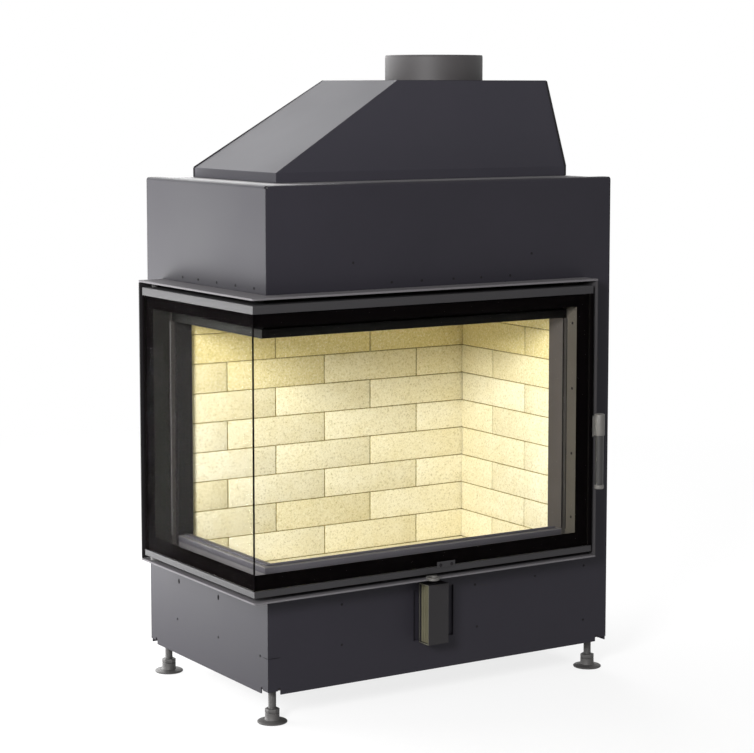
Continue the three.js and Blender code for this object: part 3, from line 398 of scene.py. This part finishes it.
# paints: colour, colour where it clouds, roughness, gloss; steels have metallic in place of gloss
casingPaint = sprayed("casingPaint", (0.0095, 0.0085, 0.0125), (0.0125, 0.0112, 0.016), 0.62, 0.2)
hoodPaint = sprayed("hoodPaint", (0.019, 0.0178, 0.0245), (0.023, 0.0215, 0.028), 0.62, 0.2)
# painted light: the shelves are a lighter copy of the casing paint, for their lit tops and edges
litShelfPaint = sprayed("litShelfPaint", (0.084, 0.08, 0.085), (0.104, 0.099, 0.105), 0.7, 0.1)
# painted light: the right lip is a lighter copy of the casing paint, where light falls on it
litLipPaint = sprayed("litLipPaint", (0.034, 0.032, 0.034), (0.042, 0.04, 0.042), 0.7, 0.05)
doorPaint = sprayed("doorPaint", (0.017, 0.0163, 0.0175), (0.022, 0.021, 0.0225), 0.6, 0.2)
# painted light and shade: latch stile lit, hinge stile shaded copies of the door paint
litLatchStilePaint = stileFinish("litLatchStilePaint", (0.062, 0.056, 0.049), (0.085, 0.077, 0.068))
shadedHingeStilePaint = stileFinish("shadedHingeStilePaint", (0.014, 0.0132, 0.0128), (0.019, 0.018, 0.0175))
# painted light and shade: the right post is a lit copy, the rear post a shaded copy of one paint
shadedRearPostPaint = sprayed("shadedRearPostPaint", (0.015, 0.0142, 0.0148), (0.02, 0.019, 0.0198), 0.75, 0.02)
litRightPostPaint = sprayed("litRightPostPaint", (0.062, 0.055, 0.053), (0.082, 0.074, 0.071), 0.75, 0.02)
sillPaint = sprayed("sillPaint", (0.115, 0.109, 0.118), (0.145, 0.138, 0.148), 0.6, 0.25)
guardPaint = sprayed("guardPaint", (0.072, 0.068, 0.082), (0.092, 0.087, 0.104), 0.7, 0.08, 0.0)
# painted light: the top plate is a lighter copy of the casing paint, for its lit top
litTopPaint = sprayed("litTopPaint", (0.1, 0.096, 0.1), (0.13, 0.125, 0.13), 0.6, 0.4)
lintelPaint = sprayed("lintelPaint", (0.0022, 0.002, 0.002), (0.004, 0.0037, 0.0037), 0.75, 0.06)
innerPaint = sprayed("innerPaint", (0.036, 0.033, 0.034), (0.05, 0.046, 0.045), 0.75, 0.02)
darkPaint = sprayed("darkPaint", (0.009, 0.0085, 0.009), (0.014, 0.013, 0.014), 0.7, 0.05)
handleSteel = satin("handleSteel", (0.085, 0.081, 0.076), (0.12, 0.115, 0.107), 0.6, 0.35)
gripPaint = sprayed("gripPaint", (0.019, 0.0182, 0.018), (0.026, 0.025, 0.0245), 0.55, 0.3)
knobPaint = sprayed("knobPaint", (0.0115, 0.0105, 0.0115), (0.015, 0.0138, 0.015), 0.62, 0.2)
# painted highlight: the air grip's rim is lighter than the grip, for its lit edge
rimHighlightPaint = sprayed("rimHighlightPaint", (0.085, 0.083, 0.062), (0.11, 0.107, 0.082), 0.6, 0.2)
resinPaint = sprayed("resinPaint", (0.075, 0.07, 0.042), (0.1, 0.093, 0.06), 0.65, 0.2)
zinc = satin("zinc", (0.036, 0.0345, 0.034), (0.054, 0.0515, 0.05), 0.62, 0.3)
collarPaint = sprayed("collarPaint", (0.023, 0.0205, 0.0213), (0.031, 0.0278, 0.0287), 0.6, 0.52)
brickClay = clay("brickClay", (0.84, 0.79, 0.62), (0.64, 0.54, 0.25), (0.34, 0.28, 0.12))
mortar = clay("mortar", (0.3, 0.25, 0.1), (0.22, 0.18, 0.07), (0.1, 0.08, 0.03))
rope, glass, enamelAndSlotShade = ropeFibre(), fireGlass(), glassPrintAndSlotShade()

finishes = {
    casingPaint: ["front_panel", "left_panel", "right_panel", "rear_panel", "air_shutter"],
    hoodPaint: ["hood"],
    litShelfPaint: ["lower_shelf", "upper_shelf"],
    litLipPaint: ["right_lip"],
    darkPaint: ["rear_lip", "shutter_guide_top", "shutter_guide_bottom"],
    doorPaint: ["door_top_rail", "door_bottom_rail", "glass_clip"],
    shadedHingeStilePaint: ["hinge_stile"],
    litLatchStilePaint: ["latch_stile"],
    shadedRearPostPaint: ["rear_post"],
    litRightPostPaint: ["right_post"],
    sillPaint: ["sill"],
    guardPaint: ["log_guard"],
    litTopPaint: ["top_plate"],
    lintelPaint: ["lintel"],
    innerPaint: ["base_plate", "firebox_floor", "firebox_back", "firebox_side", "smoke_throat",
        "support_left", "support_right", "baffle_rail", "air_box"],
    gripPaint: ["handle_grip"],
    knobPaint: ["air_grip"],
    resinPaint: ["air_grip_core"],
    handleSteel: ["latch_plate", "handle_collar", "air_tongue"],
    collarPaint: ["flue_collar"],
    enamelAndSlotShade: ["corner_bead"],
    zinc: ["air_spigot", "foot_front_left", "foot_front_right", "foot_rear_left", "foot_rear_right",
        "hinge_pin_top", "hinge_pin_bottom", "hinge_washer", "latch_pivot", "latch_striker"],
    brickClay: ["bricks_back", "bricks_right", "hearth_slab_1", "hearth_slab_2", "hearth_slab_3",
        "baffle_left", "baffle_right"],
    glass: ["front_glass", "side_glass"],
    rope: ["door_gasket"],
}
for material, names in finishes.items():
    for name in names:
        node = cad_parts[name]
        if not node.material_slots:
            node.data.materials.append(material)
        for slot in node.material_slots:
            slot.material = material
print("finishes given to", sum(len(names) for names in finishes.values()), "nodes")


# modelling
def addBlock(shape, x0, x1, y0, y1, z0, z1):
    corners = bmesh.ops.create_cube(shape, size=1)["verts"]
    bmesh.ops.scale(shape, vec=Vector((x1 - x0, y1 - y0, z1 - z0)) * mm, verts=corners)
    bmesh.ops.translate(shape, vec=at((x0 + x1) / 2, (y0 + y1) / 2, (z0 + z1) / 2), verts=corners)
    return corners


def edgesOf(points):
    return list({edge for point in points for edge in point.link_edges})


def ease(shape, edges, width, segments=2):
    return bmesh.ops.bevel(shape, geom=edges, offset=width * mm, offset_type="OFFSET",
        affect="EDGES", segments=segments, profile=0.5, material=-1)


def rod(shape, first, second, radius, steps):
    first, second = at(*first), at(*second)
    made = bmesh.ops.create_cone(shape, cap_ends=True, segments=steps, radius1=radius * mm,
        radius2=radius * mm, depth=(second - first).length)["verts"]
    bmesh.ops.rotate(shape, verts=made, cent=(0, 0, 0),
        matrix=(second - first).to_track_quat("Z", "Y").to_matrix())
    bmesh.ops.translate(shape, vec=(first + second) / 2, verts=made)


def turnedShape(shape, profile, centre, steps=48, axis=(0, 0, 1), side=(1, 0, 0)):
    # profile is [radius, height along the axis] from one end to the other
    axis, side = Vector(axis), Vector(side)
    points = [shape.verts.new(centre + (side * r + axis * h) * mm) for r, h in profile]
    edges = [shape.edges.new(pair) for pair in zip(points, points[1:])]
    bmesh.ops.spin(shape, geom=points + edges, cent=centre, axis=axis, angle=math.tau,
        steps=steps, use_merge=True)
    bmesh.ops.remove_doubles(shape, verts=shape.verts, dist=1e-6)


def keep(shape, name, body, slotName, material, *nodes, smooth=35):
    bmesh.ops.recalc_face_normals(shape, faces=shape.faces)
    mesh = bpy.data.meshes.new(name)
    shape.to_mesh(mesh)
    shape.free()
    mesh.shade_smooth()
    mesh.set_sharp_from_angle(angle=math.radians(smooth))
    piece = bpy.data.objects.new(name, mesh)
    scene.collection.objects.link(piece)
    mesh.materials.append(material)
    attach(piece, body)
    if nodes:
        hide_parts(*nodes)


# brick lining: each brick has its own tint and stands a little in or out; levels is the top of the
# lowest row, offsets are the first upright joints of even and odd rows, and the rows above
# unshadedRows are darker: painted shade under the lintel, partly real soot on the top bricks
bricks = dict(length=220, height=57.7, joint=2, upright=3, corner=2.6, recess=2.4, round=1.2,
    play=0.4, levels=158, back=1, shortest=8, lowest=1, mostCuts=8, tint=0.45, rightTint=0.25,
    shadeAndSoot=0.42, unshadedRows=6, backOffsets=(254, 142), rightOffsets=(220, 110))
bed = dict(back=1.5, inset=1, ease=0.4)
chance = random.Random(7)


def brickWall(name, node, alongX, offset):
    x0, x1, y0, y1, z0, z1 = reach(node)
    shape = bmesh.new()
    tint = shape.faces.layers.float.new("tint")
    start, end = (x1, x0) if alongX else (y1, y0)
    wall = abs(start - end)
    row, half, side = 0, bricks["joint"] / 2, bricks["upright"] / 2
    low = z0
    while low < z1 - bricks["lowest"]:
        top = min(bricks["levels"] + row * bricks["height"], z1)
        joints = [offset[row % 2] + i * bricks["length"] for i in range(bricks["mostCuts"])]
        cuts = [0] + joints + [wall]
        for near, far in zip(cuts, cuts[1:]):
            near, far = min(near, wall), min(far, wall)
            if far - near < bricks["shortest"]:
                continue
            # at the inner corner, only even rows of the right wall leave a joint
            first = side if near > 0 else bricks["corner"] * (row % 2 == 0) * (not alongX)
            spans = sorted((start - near - first, start - far + side))
            out = chance.uniform(0, bricks["play"])
            base, head = low + half * (low > z0), top - half * (top < z1)
            if alongX:
                points = addBlock(shape, *spans, y0 + out, y1 - bricks["back"], base, head)
            else:
                points = addBlock(shape, x0 + out, x1 - bricks["back"], *spans, base, head)
            made = ease(shape, edgesOf(points), bricks["round"])
            share = chance.uniform(0, bricks["tint" if alongX else "rightTint"])
            # the rows under the lintel are darker: painted shade of the lintel, partly soot
            share += bricks["shadeAndSoot"] * max(0, row - bricks["unshadedRows"])
            for face in {face for point in made["verts"] for face in point.link_faces}:
                face[tint] = share
        low, row = top, row + 1
    keep(shape, name, "casing", "firebrick", brickClay, node)


def mortarBed(name, alongX, node):
    x0, x1, y0, y1, z0, z1 = reach(node)
    shape, deep, back = bmesh.new(), bricks["recess"], bed["back"]
    levels = z0 + bed["inset"], z1 - bed["inset"]
    if alongX:
        points = addBlock(shape, x0, x1, y0 + deep, y1 - back, *levels)
    else:
        points = addBlock(shape, x0 + deep, x1 - back, y0, y1, *levels)
    ease(shape, edgesOf(points), bed["ease"])
    keep(shape, name, "casing", "firebrick", mortar)


brickWall("brickwork_back", "bricks_back", True, bricks["backOffsets"])
brickWall("brickwork_right", "bricks_right", False, bricks["rightOffsets"])
mortarBed("mortar_back", True, "bricks_back")
mortarBed("mortar_right", False, "bricks_right")
print("firebox lined")

# levelling feet: pressed disc, socket, hexagon nut and threaded rod
foot = dict(disc=27.5, socket=13.3, nut=13.6, nutLow=18, nutHigh=26, rod=7.4, thread=0.5, pitch=2.2,
    threadEnd=78)


def levellingFoot(node):
    x0, x1, y0, y1, z0, z1 = reach(node)
    base, tall = under(node), z1 - z0
    shape = bmesh.new()
    disc, socket, low, high = foot["disc"], foot["socket"], foot["nutLow"], foot["nutHigh"]
    turnedShape(shape, [[0, 0], [disc - 0.8, 0], [disc, 0.8], [disc, 2.4], [disc - 1.2, 3.3],
        [17, 4.6], [14.2, 5.4], [socket, 7], [socket, low - 1], [socket - 1, low], [0, low]], base)
    crest, root = foot["rod"], foot["rod"] - foot["thread"]
    profile, z = [[0, high - 1], [root, high - 1]], high
    while z < foot["threadEnd"]:
        profile += [[root, z], [crest, z + foot["pitch"] / 2]]
        z += foot["pitch"]
    profile += [[root, z], [root, tall - 0.6], [root - 0.8, tall], [0, tall]]
    turnedShape(shape, profile, base, 32)
    nut = bmesh.ops.create_cone(shape, cap_ends=True, segments=6, radius1=foot["nut"] * mm,
        radius2=foot["nut"] * mm, depth=(high - low) * mm)["verts"]
    bmesh.ops.translate(shape, vec=base + Vector((0, 0, (low + high) / 2 * mm)), verts=nut)
    ease(shape, edgesOf(nut), 0.9)
    keep(shape, node + "_detail", node + "_screw", "zinc_steel", zinc, node)


for corner in ("front_left", "front_right", "rear_left", "rear_right"):
    levellingFoot("foot_" + corner)

# flue collar: rolled sheet with a bead at its rim
flue = dict(wall=3, bead=1.0, steps=128)
x0, x1, y0, y1, z0, z1 = reach("flue_collar")
r, tall, wall, bead = (x1 - x0) / 2, z1 - z0, flue["wall"], flue["bead"]
shape = bmesh.new()
turnedShape(shape, [[r - wall, 0], [r, 0], [r, tall - 4 * bead],
    [r - 0.5 * bead, tall - 3.4 * bead], [r - 0.2, tall - bead], [r - 0.9, tall - 0.25],
    [r - wall / 2, tall], [r - wall + 0.7, tall - 0.3], [r - wall, tall - bead], [r - wall, 0]],
    under("flue_collar"), flue["steps"])
keep(shape, "flue_collar_rolled", "casing", "satin_steel", collarPaint, "flue_collar", smooth=28)

# door handle: turned collar, grip bar and an end ring that is a little thicker
handle = dict(ease=0.8, ring=8, neck=0.5, slimmer=1, steps=64)
x0, x1, y0, y1, z0, z1 = reach("handle_collar")
r, tall, cut = (x1 - x0) / 2, z1 - z0, handle["ease"]
shape = bmesh.new()
turnedShape(shape, [[0, 0], [r - cut, 0], [r - 0.2, 0.3], [r, cut], [r, tall - 2.4],
    [r - 0.5, tall - 1.2], [r - 1.5, tall - 0.3], [r - 2.6, tall], [0, tall]],
    under("handle_collar"), handle["steps"])
keep(shape, "handle_collar_turned", "latch", "satin_steel", handleSteel, "handle_collar")
x0, x1, y0, y1, z0, z1 = reach("handle_grip")
tall, outer, ring, neck = z1 - z0, (x1 - x0) / 2, handle["ring"], handle["neck"]
r = outer - handle["slimmer"]
shape = bmesh.new()
turnedShape(shape, [[0, ring], [r - 0.6, ring], [r, ring + 0.6], [r, tall - 1],
    [r - neck, tall - 0.4], [r - neck, tall], [0, tall]], under("handle_grip"), handle["steps"])
keep(shape, "handle_grip_bar", "latch", "dark_steel", gripPaint, "handle_grip")
shape = bmesh.new()
turnedShape(shape, [[0, 0], [outer - 1.4, 0], [outer - 0.4, 0.4], [outer, 1.3], [outer, ring - 1],
    [outer - 0.4, ring - 0.3], [outer - 1.1, ring - 0.05], [0, ring - 0.05]],
    under("handle_grip"), handle["steps"])
keep(shape, "handle_end_ring", "latch", "satin_steel", handleSteel)

# folded seams of the hood: two uprights, two hips and two top edges; inset, tuck and slim are
# shares of the radius
seam = dict(radius=2.3, inset=0.3, tuck=0.5, slim=0.6, lift=0.3, steps=12)
hoodPoints = [(vertex.co - zero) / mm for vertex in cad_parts["hood"].data.vertices]
bandTop = sorted({round(point.z, 1) for point in hoodPoints})[1]
x0, x1, y0, y1, z0, z1 = reach("hood")
topPoints = [point for point in hoodPoints if point.z > z1 - 0.1]
left, right = min(point.x for point in topPoints), max(point.x for point in topPoints)
front, rear = min(point.y for point in topPoints), max(point.y for point in topPoints)
r = seam["radius"]
inset, tuck, slim, lift = r * seam["inset"], r * seam["tuck"], r * seam["slim"], seam["lift"]
shape = bmesh.new()
for first, second, radius in (
        ((x0 + inset, y1 - inset, z0 + lift), (x0 + inset, y1 - inset, bandTop), r),
        ((x1 - inset, y0 + inset, z0 + lift), (x1 - inset, y0 + inset, bandTop), r),
        ((x1 - inset, y0, bandTop), (right - inset, front, z1 - slim), r),
        ((x0 + inset, y1 - inset, bandTop), (left + inset, rear - inset, z1 - slim), r),
        ((left, front + tuck, z1 - tuck), (right, front + tuck, z1 - tuck), slim),
        ((left + tuck, front, z1 - tuck), (left + tuck, rear, z1 - tuck), slim)):
    rod(shape, first, second, radius, seam["steps"])
keep(shape, "hood_seams", "casing", "casing_paint", darkPaint)
print("feet, flue collar, handle and hood seams made")

# rivets and screws of the sheets: the places along each face and up
rivet = dict(radius=2.3, height=0.9, socket=1.0, steps=20)
casingWidth = 770
rows = {
    "left": [(y, 736) for y in (44, 113, 185, 258, 321)] + [(y, 69) for y in (29, 189, 356)],
    "front": [(x, 738) for x in (264, 330, 401, 464, 531)] + [(581, 778), (181, 777),
        (155.8, 149.6), (155.6, 74.2), (453.2, 150.3), (595, 149.7), (457.8, 68.2), (713.4, 47.9),
        (713.8, 156.1)],
    "right": [(y, z) for y in (16, 452) for z in (60, 220, 380, 540, 700, 860)],
}
faces = {  # where u and v lie on each face, and its outward direction
    "left": (lambda u, v: at(0, u, v), (-1, 0, 0)),
    "front": (lambda u, v: at(u, 0, v), (0, -1, 0)),
    "right": (lambda u, v: at(casingWidth, u, v), (1, 0, 0)),
}
shape = bmesh.new()
r, h, inner = rivet["radius"], rivet["height"], rivet["socket"]
for face, spots in rows.items():
    place, outward = faces[face]
    for u, v in spots:
        turnedShape(shape, [[0, h - 0.5], [inner, h - 0.45], [inner + 0.25, h],
            [r * 0.75, h * 0.86], [r, h * 0.3], [r + 0.15, -0.4], [0, -0.4]], place(u, v),
            rivet["steps"], outward, (0, 0, 1))
keep(shape, "casing_rivets", "casing", "casing_paint", darkPaint)

# dark slots in the lower sheets, and the hairline joint round the near corner: face, middle along
# it and up, half length and half height; proud and deep are in metres
# the slots are black plates laid over the openings: painted shade of their insides
slots = [("left", 348, 145, 3, 5.2), ("left", 188, 145, 3, 5.2), ("left", 9, 68.6, 9, 0.55),
    ("front", 13, 68.6, 13, 0.55)]
slotPlate = dict(proud=0.00012, deep=0.0004, steps=24)
shape = bmesh.new()
for face, u, v, halfU, halfV in slots:
    place, outward = faces[face]
    outward = Vector(outward)
    ring = bmesh.ops.create_circle(shape, cap_ends=True, segments=slotPlate["steps"],
        radius=1)["verts"]
    for point in ring:
        point.co = (place(u + point.co.x * halfU, v + point.co.y * halfV)
            + outward * slotPlate["proud"])
    plate = list({f for point in ring for f in point.link_faces})
    made = bmesh.ops.extrude_face_region(shape, geom=plate)["geom"]
    bmesh.ops.translate(shape, vec=outward * -slotPlate["deep"],
        verts=[item for item in made if isinstance(item, bmesh.types.BMVert)])
keep(shape, "casing_slots", "casing", "dark_steel", enamelAndSlotShade)
print("sheets riveted")

# air grip: folded rim round its open side, painted lighter as a highlight, and ribs of the filling
grip = dict(rim=1.9, backRim=1, thick=0.35, gap=0.02, ease=0.12, rib=0.9, ribs=(0.24, 0.5, 0.76),
    ribEnds=1.5, steps=12)
x0, x1, y0, y1, z0, z1 = reach("air_grip")
rim = grip["rim"]
shape = bmesh.new()
for low, high, bottom, top in ((y0, y0 + rim, z0, z1), (y0 + rim, y1, z0, z0 + rim),
        (y0 + rim, y1, z1 - rim, z1), (y1 - grip["backRim"], y1, z0 + rim, z1 - rim)):
    points = addBlock(shape, x0 - grip["thick"], x0 - grip["gap"], low, high, bottom, top)
    ease(shape, edgesOf(points), grip["ease"])
keep(shape, "air_grip_rim", "primary_air", "dark_steel", rimHighlightPaint)
x0, x1, y0, y1, z0, z1 = reach("air_grip_core")
shape = bmesh.new()
for share in grip["ribs"]:
    y = y0 + (y1 - y0) * share
    rod(shape, (x0, y, z0 + grip["ribEnds"]), (x0, y, z1 - grip["ribEnds"]), grip["rib"],
        grip["steps"])
keep(shape, "air_grip_ribs", "primary_air", "dark_steel", resinPaint)

# log guard: a low rounded bar on the sill, and a folded strip along the sill's outer face
guard = dict(height=3.2, depth=5, ease=1, strip=0.6, stripLow=223.5, stripHigh=233.2,
    stripEase=0.2, gap=0.03, short=1)
x0, x1, y0, y1, z0, z1 = reach("log_guard")
depth = guard["depth"]
shape = bmesh.new()
for ends in ((x0, x1, y0, y0 + depth), (x0, x0 + depth, y0 + depth, y1)):
    ease(shape, edgesOf(addBlock(shape, *ends, z0, z0 + guard["height"])), guard["ease"], 3)
keep(shape, "log_guard_bar", "casing", "dark_steel", guardPaint, "log_guard")
x0, x1, y0, y1, z0, z1 = reach("sill")
thick, gap, short = guard["strip"], guard["gap"], guard["short"]
shape = bmesh.new()
for ends in ((x0 - thick, x1 - short, y0 - thick, y0 - gap),
        (x0 - thick, x0 - gap, y0 + gap, y1 - short)):
    points = addBlock(shape, *ends, guard["stripLow"], guard["stripHigh"])
    ease(shape, edgesOf(points), guard["stripEase"])
keep(shape, "sill_strip", "casing", "dark_steel", guardPaint)

# rolled ring round the eye of the secondary air tongue
eye = dict(x=321.5, y=-53, inner=7.4, outer=13.6, height=2.2, gap=0.02, steps=48)
inner, outer, tall = eye["inner"], eye["outer"], eye["height"]
shape = bmesh.new()
turnedShape(shape, [[inner, 0], [outer - 0.4, 0], [outer, 0.6], [outer - 0.3, tall - 0.5],
    [outer - 1.2, tall], [inner + 1.2, tall], [inner + 0.2, tall - 0.6], [inner, 0]],
    at(eye["x"], eye["y"], reach("air_tongue")[5] + eye["gap"]), eye["steps"])
keep(shape, "tongue_eye_ring", "secondary_air", "satin_steel", handleSteel)

# folded edges beside the openings: at the right post, at the latch stile and at the hinge stile
fold = dict(radius=1.0, low=236, high=649, postY=9, latchY=-1.6, hingeY=356.2, hingeGap=0.7,
    steps=12)
low, high = fold["low"], fold["high"]
hingeX = reach("hinge_stile")[1] + fold["hingeGap"]
for name, body, x, y, paint in (
        ("post_fold", "casing", reach("right_post")[0], fold["postY"], darkPaint),
        ("latch_stile_fold", "door", reach("latch_stile")[0], fold["latchY"], darkPaint),
        # the hinge stile's fold in the lighter top paint is a painted highlight line
        ("hinge_stile_fold", "door", hingeX, fold["hingeY"], litTopPaint)):
    shape = bmesh.new()
    rod(shape, (x, y, low), (x, y, high), fold["radius"], fold["steps"])
    keep(shape, name, body, "dark_steel", paint)

# screws that hold the panes: in the clip, and down the inner side of the latch stile
screw = dict(clipX=(345.6, 370.4), clipY=-42.5, clipZ=208.6, stileY=-19,
    stileZ=(641, 514, 387, 262), steps=24)
stileX = reach("latch_stile")[0]
shape = bmesh.new()
for x in screw["clipX"]:
    turnedShape(shape, [[0, 0.5], [0.9, 0.5], [1.1, 1.1], [2.4, 1.0], [3.1, 0.5], [3.2, -0.3],
        [0, -0.3]], at(x, screw["clipY"], screw["clipZ"]), screw["steps"], (0, -1, 0), (0, 0, 1))
for z in screw["stileZ"]:
    turnedShape(shape, [[0, 0.3], [1.0, 0.3], [1.2, 0.7], [2.3, 0.6], [2.8, 0.2], [2.9, -0.3],
        [0, -0.3]], at(stileX, screw["stileY"], z), screw["steps"], (-1, 0, 0), (0, 0, 1))
keep(shape, "pane_screws", "door", "dark_steel", darkPaint)

# black edge strips beside the panes, on the outer faces of the two stiles
strip = dict(thick=0.35, gap=0.02, side=0.1, ends=0.3, ease=0.12)
thick, gap, side, ends = strip["thick"], strip["gap"], strip["side"], strip["ends"]
shape = bmesh.new()
x0, x1, y0, y1, z0, z1 = reach("latch_stile")
points = addBlock(shape, reach("front_glass")[1] + side, x1 - side, y0 - thick, y0 - gap,
    z0 + ends, z1 - ends)
x0, x1, y0, y1, z0, z1 = reach("hinge_stile")
points += addBlock(shape, x0 - thick, x0 - gap, reach("side_glass")[3] + side, y1 - side,
    z0 + ends, z1 - ends)
ease(shape, edgesOf(points), strip["ease"])
keep(shape, "stile_strips", "door", "dark_steel", enamelAndSlotShade)
print("air controls, log guard, folds and pane screws made")

# enamel borders on the inner faces of the panes
border = dict(thick=0.12, top=23.2, bottom=28.3, right=29, rear=28.6, left=2, inset=0.2, gap=0.03)


def paneBorder(name, node, far, alongX):  # a grid of 3 by 3 without its middle
    x0, x1, y0, y1, z0, z1 = reach(node)
    low, high = (x0, x1) if alongX else (y0, y1)
    inset, half = border["inset"], 1.5
    rungs = [low + inset, low + border["left"], high - far, high - inset]
    rails = [z0 + inset, z0 + border["bottom"], z1 - border["top"], z1 - inset]
    deep = (y1 if alongX else x1) + border["gap"]
    shape = bmesh.new()
    points = bmesh.ops.create_grid(shape, x_segments=3, y_segments=3, size=half)["verts"]
    for point in points:
        u, v = rungs[round(point.co.x + half)], rails[round(point.co.y + half)]
        point.co = at(u, deep, v) if alongX else at(deep, u, v)
    middle = [face for face in shape.faces
        if all(len(point.link_faces) == 4 for point in face.verts)]
    bmesh.ops.delete(shape, geom=middle, context="FACES")
    inward = Vector((0, 1, 0)) if alongX else Vector((1, 0, 0))
    made = bmesh.ops.extrude_face_region(shape, geom=shape.faces[:])["geom"]
    bmesh.ops.translate(shape, vec=inward * border["thick"] * mm,
        verts=[item for item in made if isinstance(item, bmesh.types.BMVert)])
    keep(shape, name, "door", "dark_steel", enamelAndSlotShade)


paneBorder("print_front", "front_glass", border["right"], True)
paneBorder("print_side", "side_glass", border["rear"], False)
print("panes printed")

# pale floor: it holds the shadow near the object and fades to the white background
floorLook = dict(size=14.0, below=0.0002, pale=(0.84, 0.84, 0.84), paler=(0.88, 0.88, 0.88),
    cloud=3.0, fadeStart=1.2, fadeEnd=3.2, white=0.8)
floorShape = bmesh.new()
bmesh.ops.create_grid(floorShape, x_segments=1, y_segments=1, size=floorLook["size"])
bmesh.ops.translate(floorShape, verts=floorShape.verts,
    vec=(0, 0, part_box("foot_front_left")[0].z - floorLook["below"]))
floorMesh = bpy.data.meshes.new("floor")
floorShape.to_mesh(floorMesh)
floorShape.free()
floor = bpy.data.objects.new("floor", floorMesh)
scene.collection.objects.link(floor)
finish = Finish("floor", roughness=0.8, specular=0.2)
cloud = finish.noise(floorLook["cloud"], detail=4)
finish.set("Base Color", finish.blend(cloud, floorLook["pale"], floorLook["paler"]))
distance = finish.nodes.new("ShaderNodeVectorMath")
distance.operation = "LENGTH"
finish.links.new(finish.spot, distance.inputs[0])
fade = finish.spread(distance.outputs["Value"], floorLook["fadeStart"], floorLook["fadeEnd"],
    floorLook["white"], 1.0)
shown = mathNode(finish.nodes, finish.links, "MULTIPLY", fade,
    backgroundMask(finish.nodes, finish.links))
glow, mixed = finish.nodes.new("ShaderNodeEmission"), finish.nodes.new("ShaderNodeMixShader")
finish.links.new(shown, mixed.inputs[0])
finish.links.new(finish.shader.outputs[0], mixed.inputs[1])
finish.links.new(glow.outputs[0], mixed.inputs[2])
finish.links.new(mixed.outputs[0], finish.out.inputs["Surface"])
floorMesh.materials.append(finish.material)

print("all pieces made")
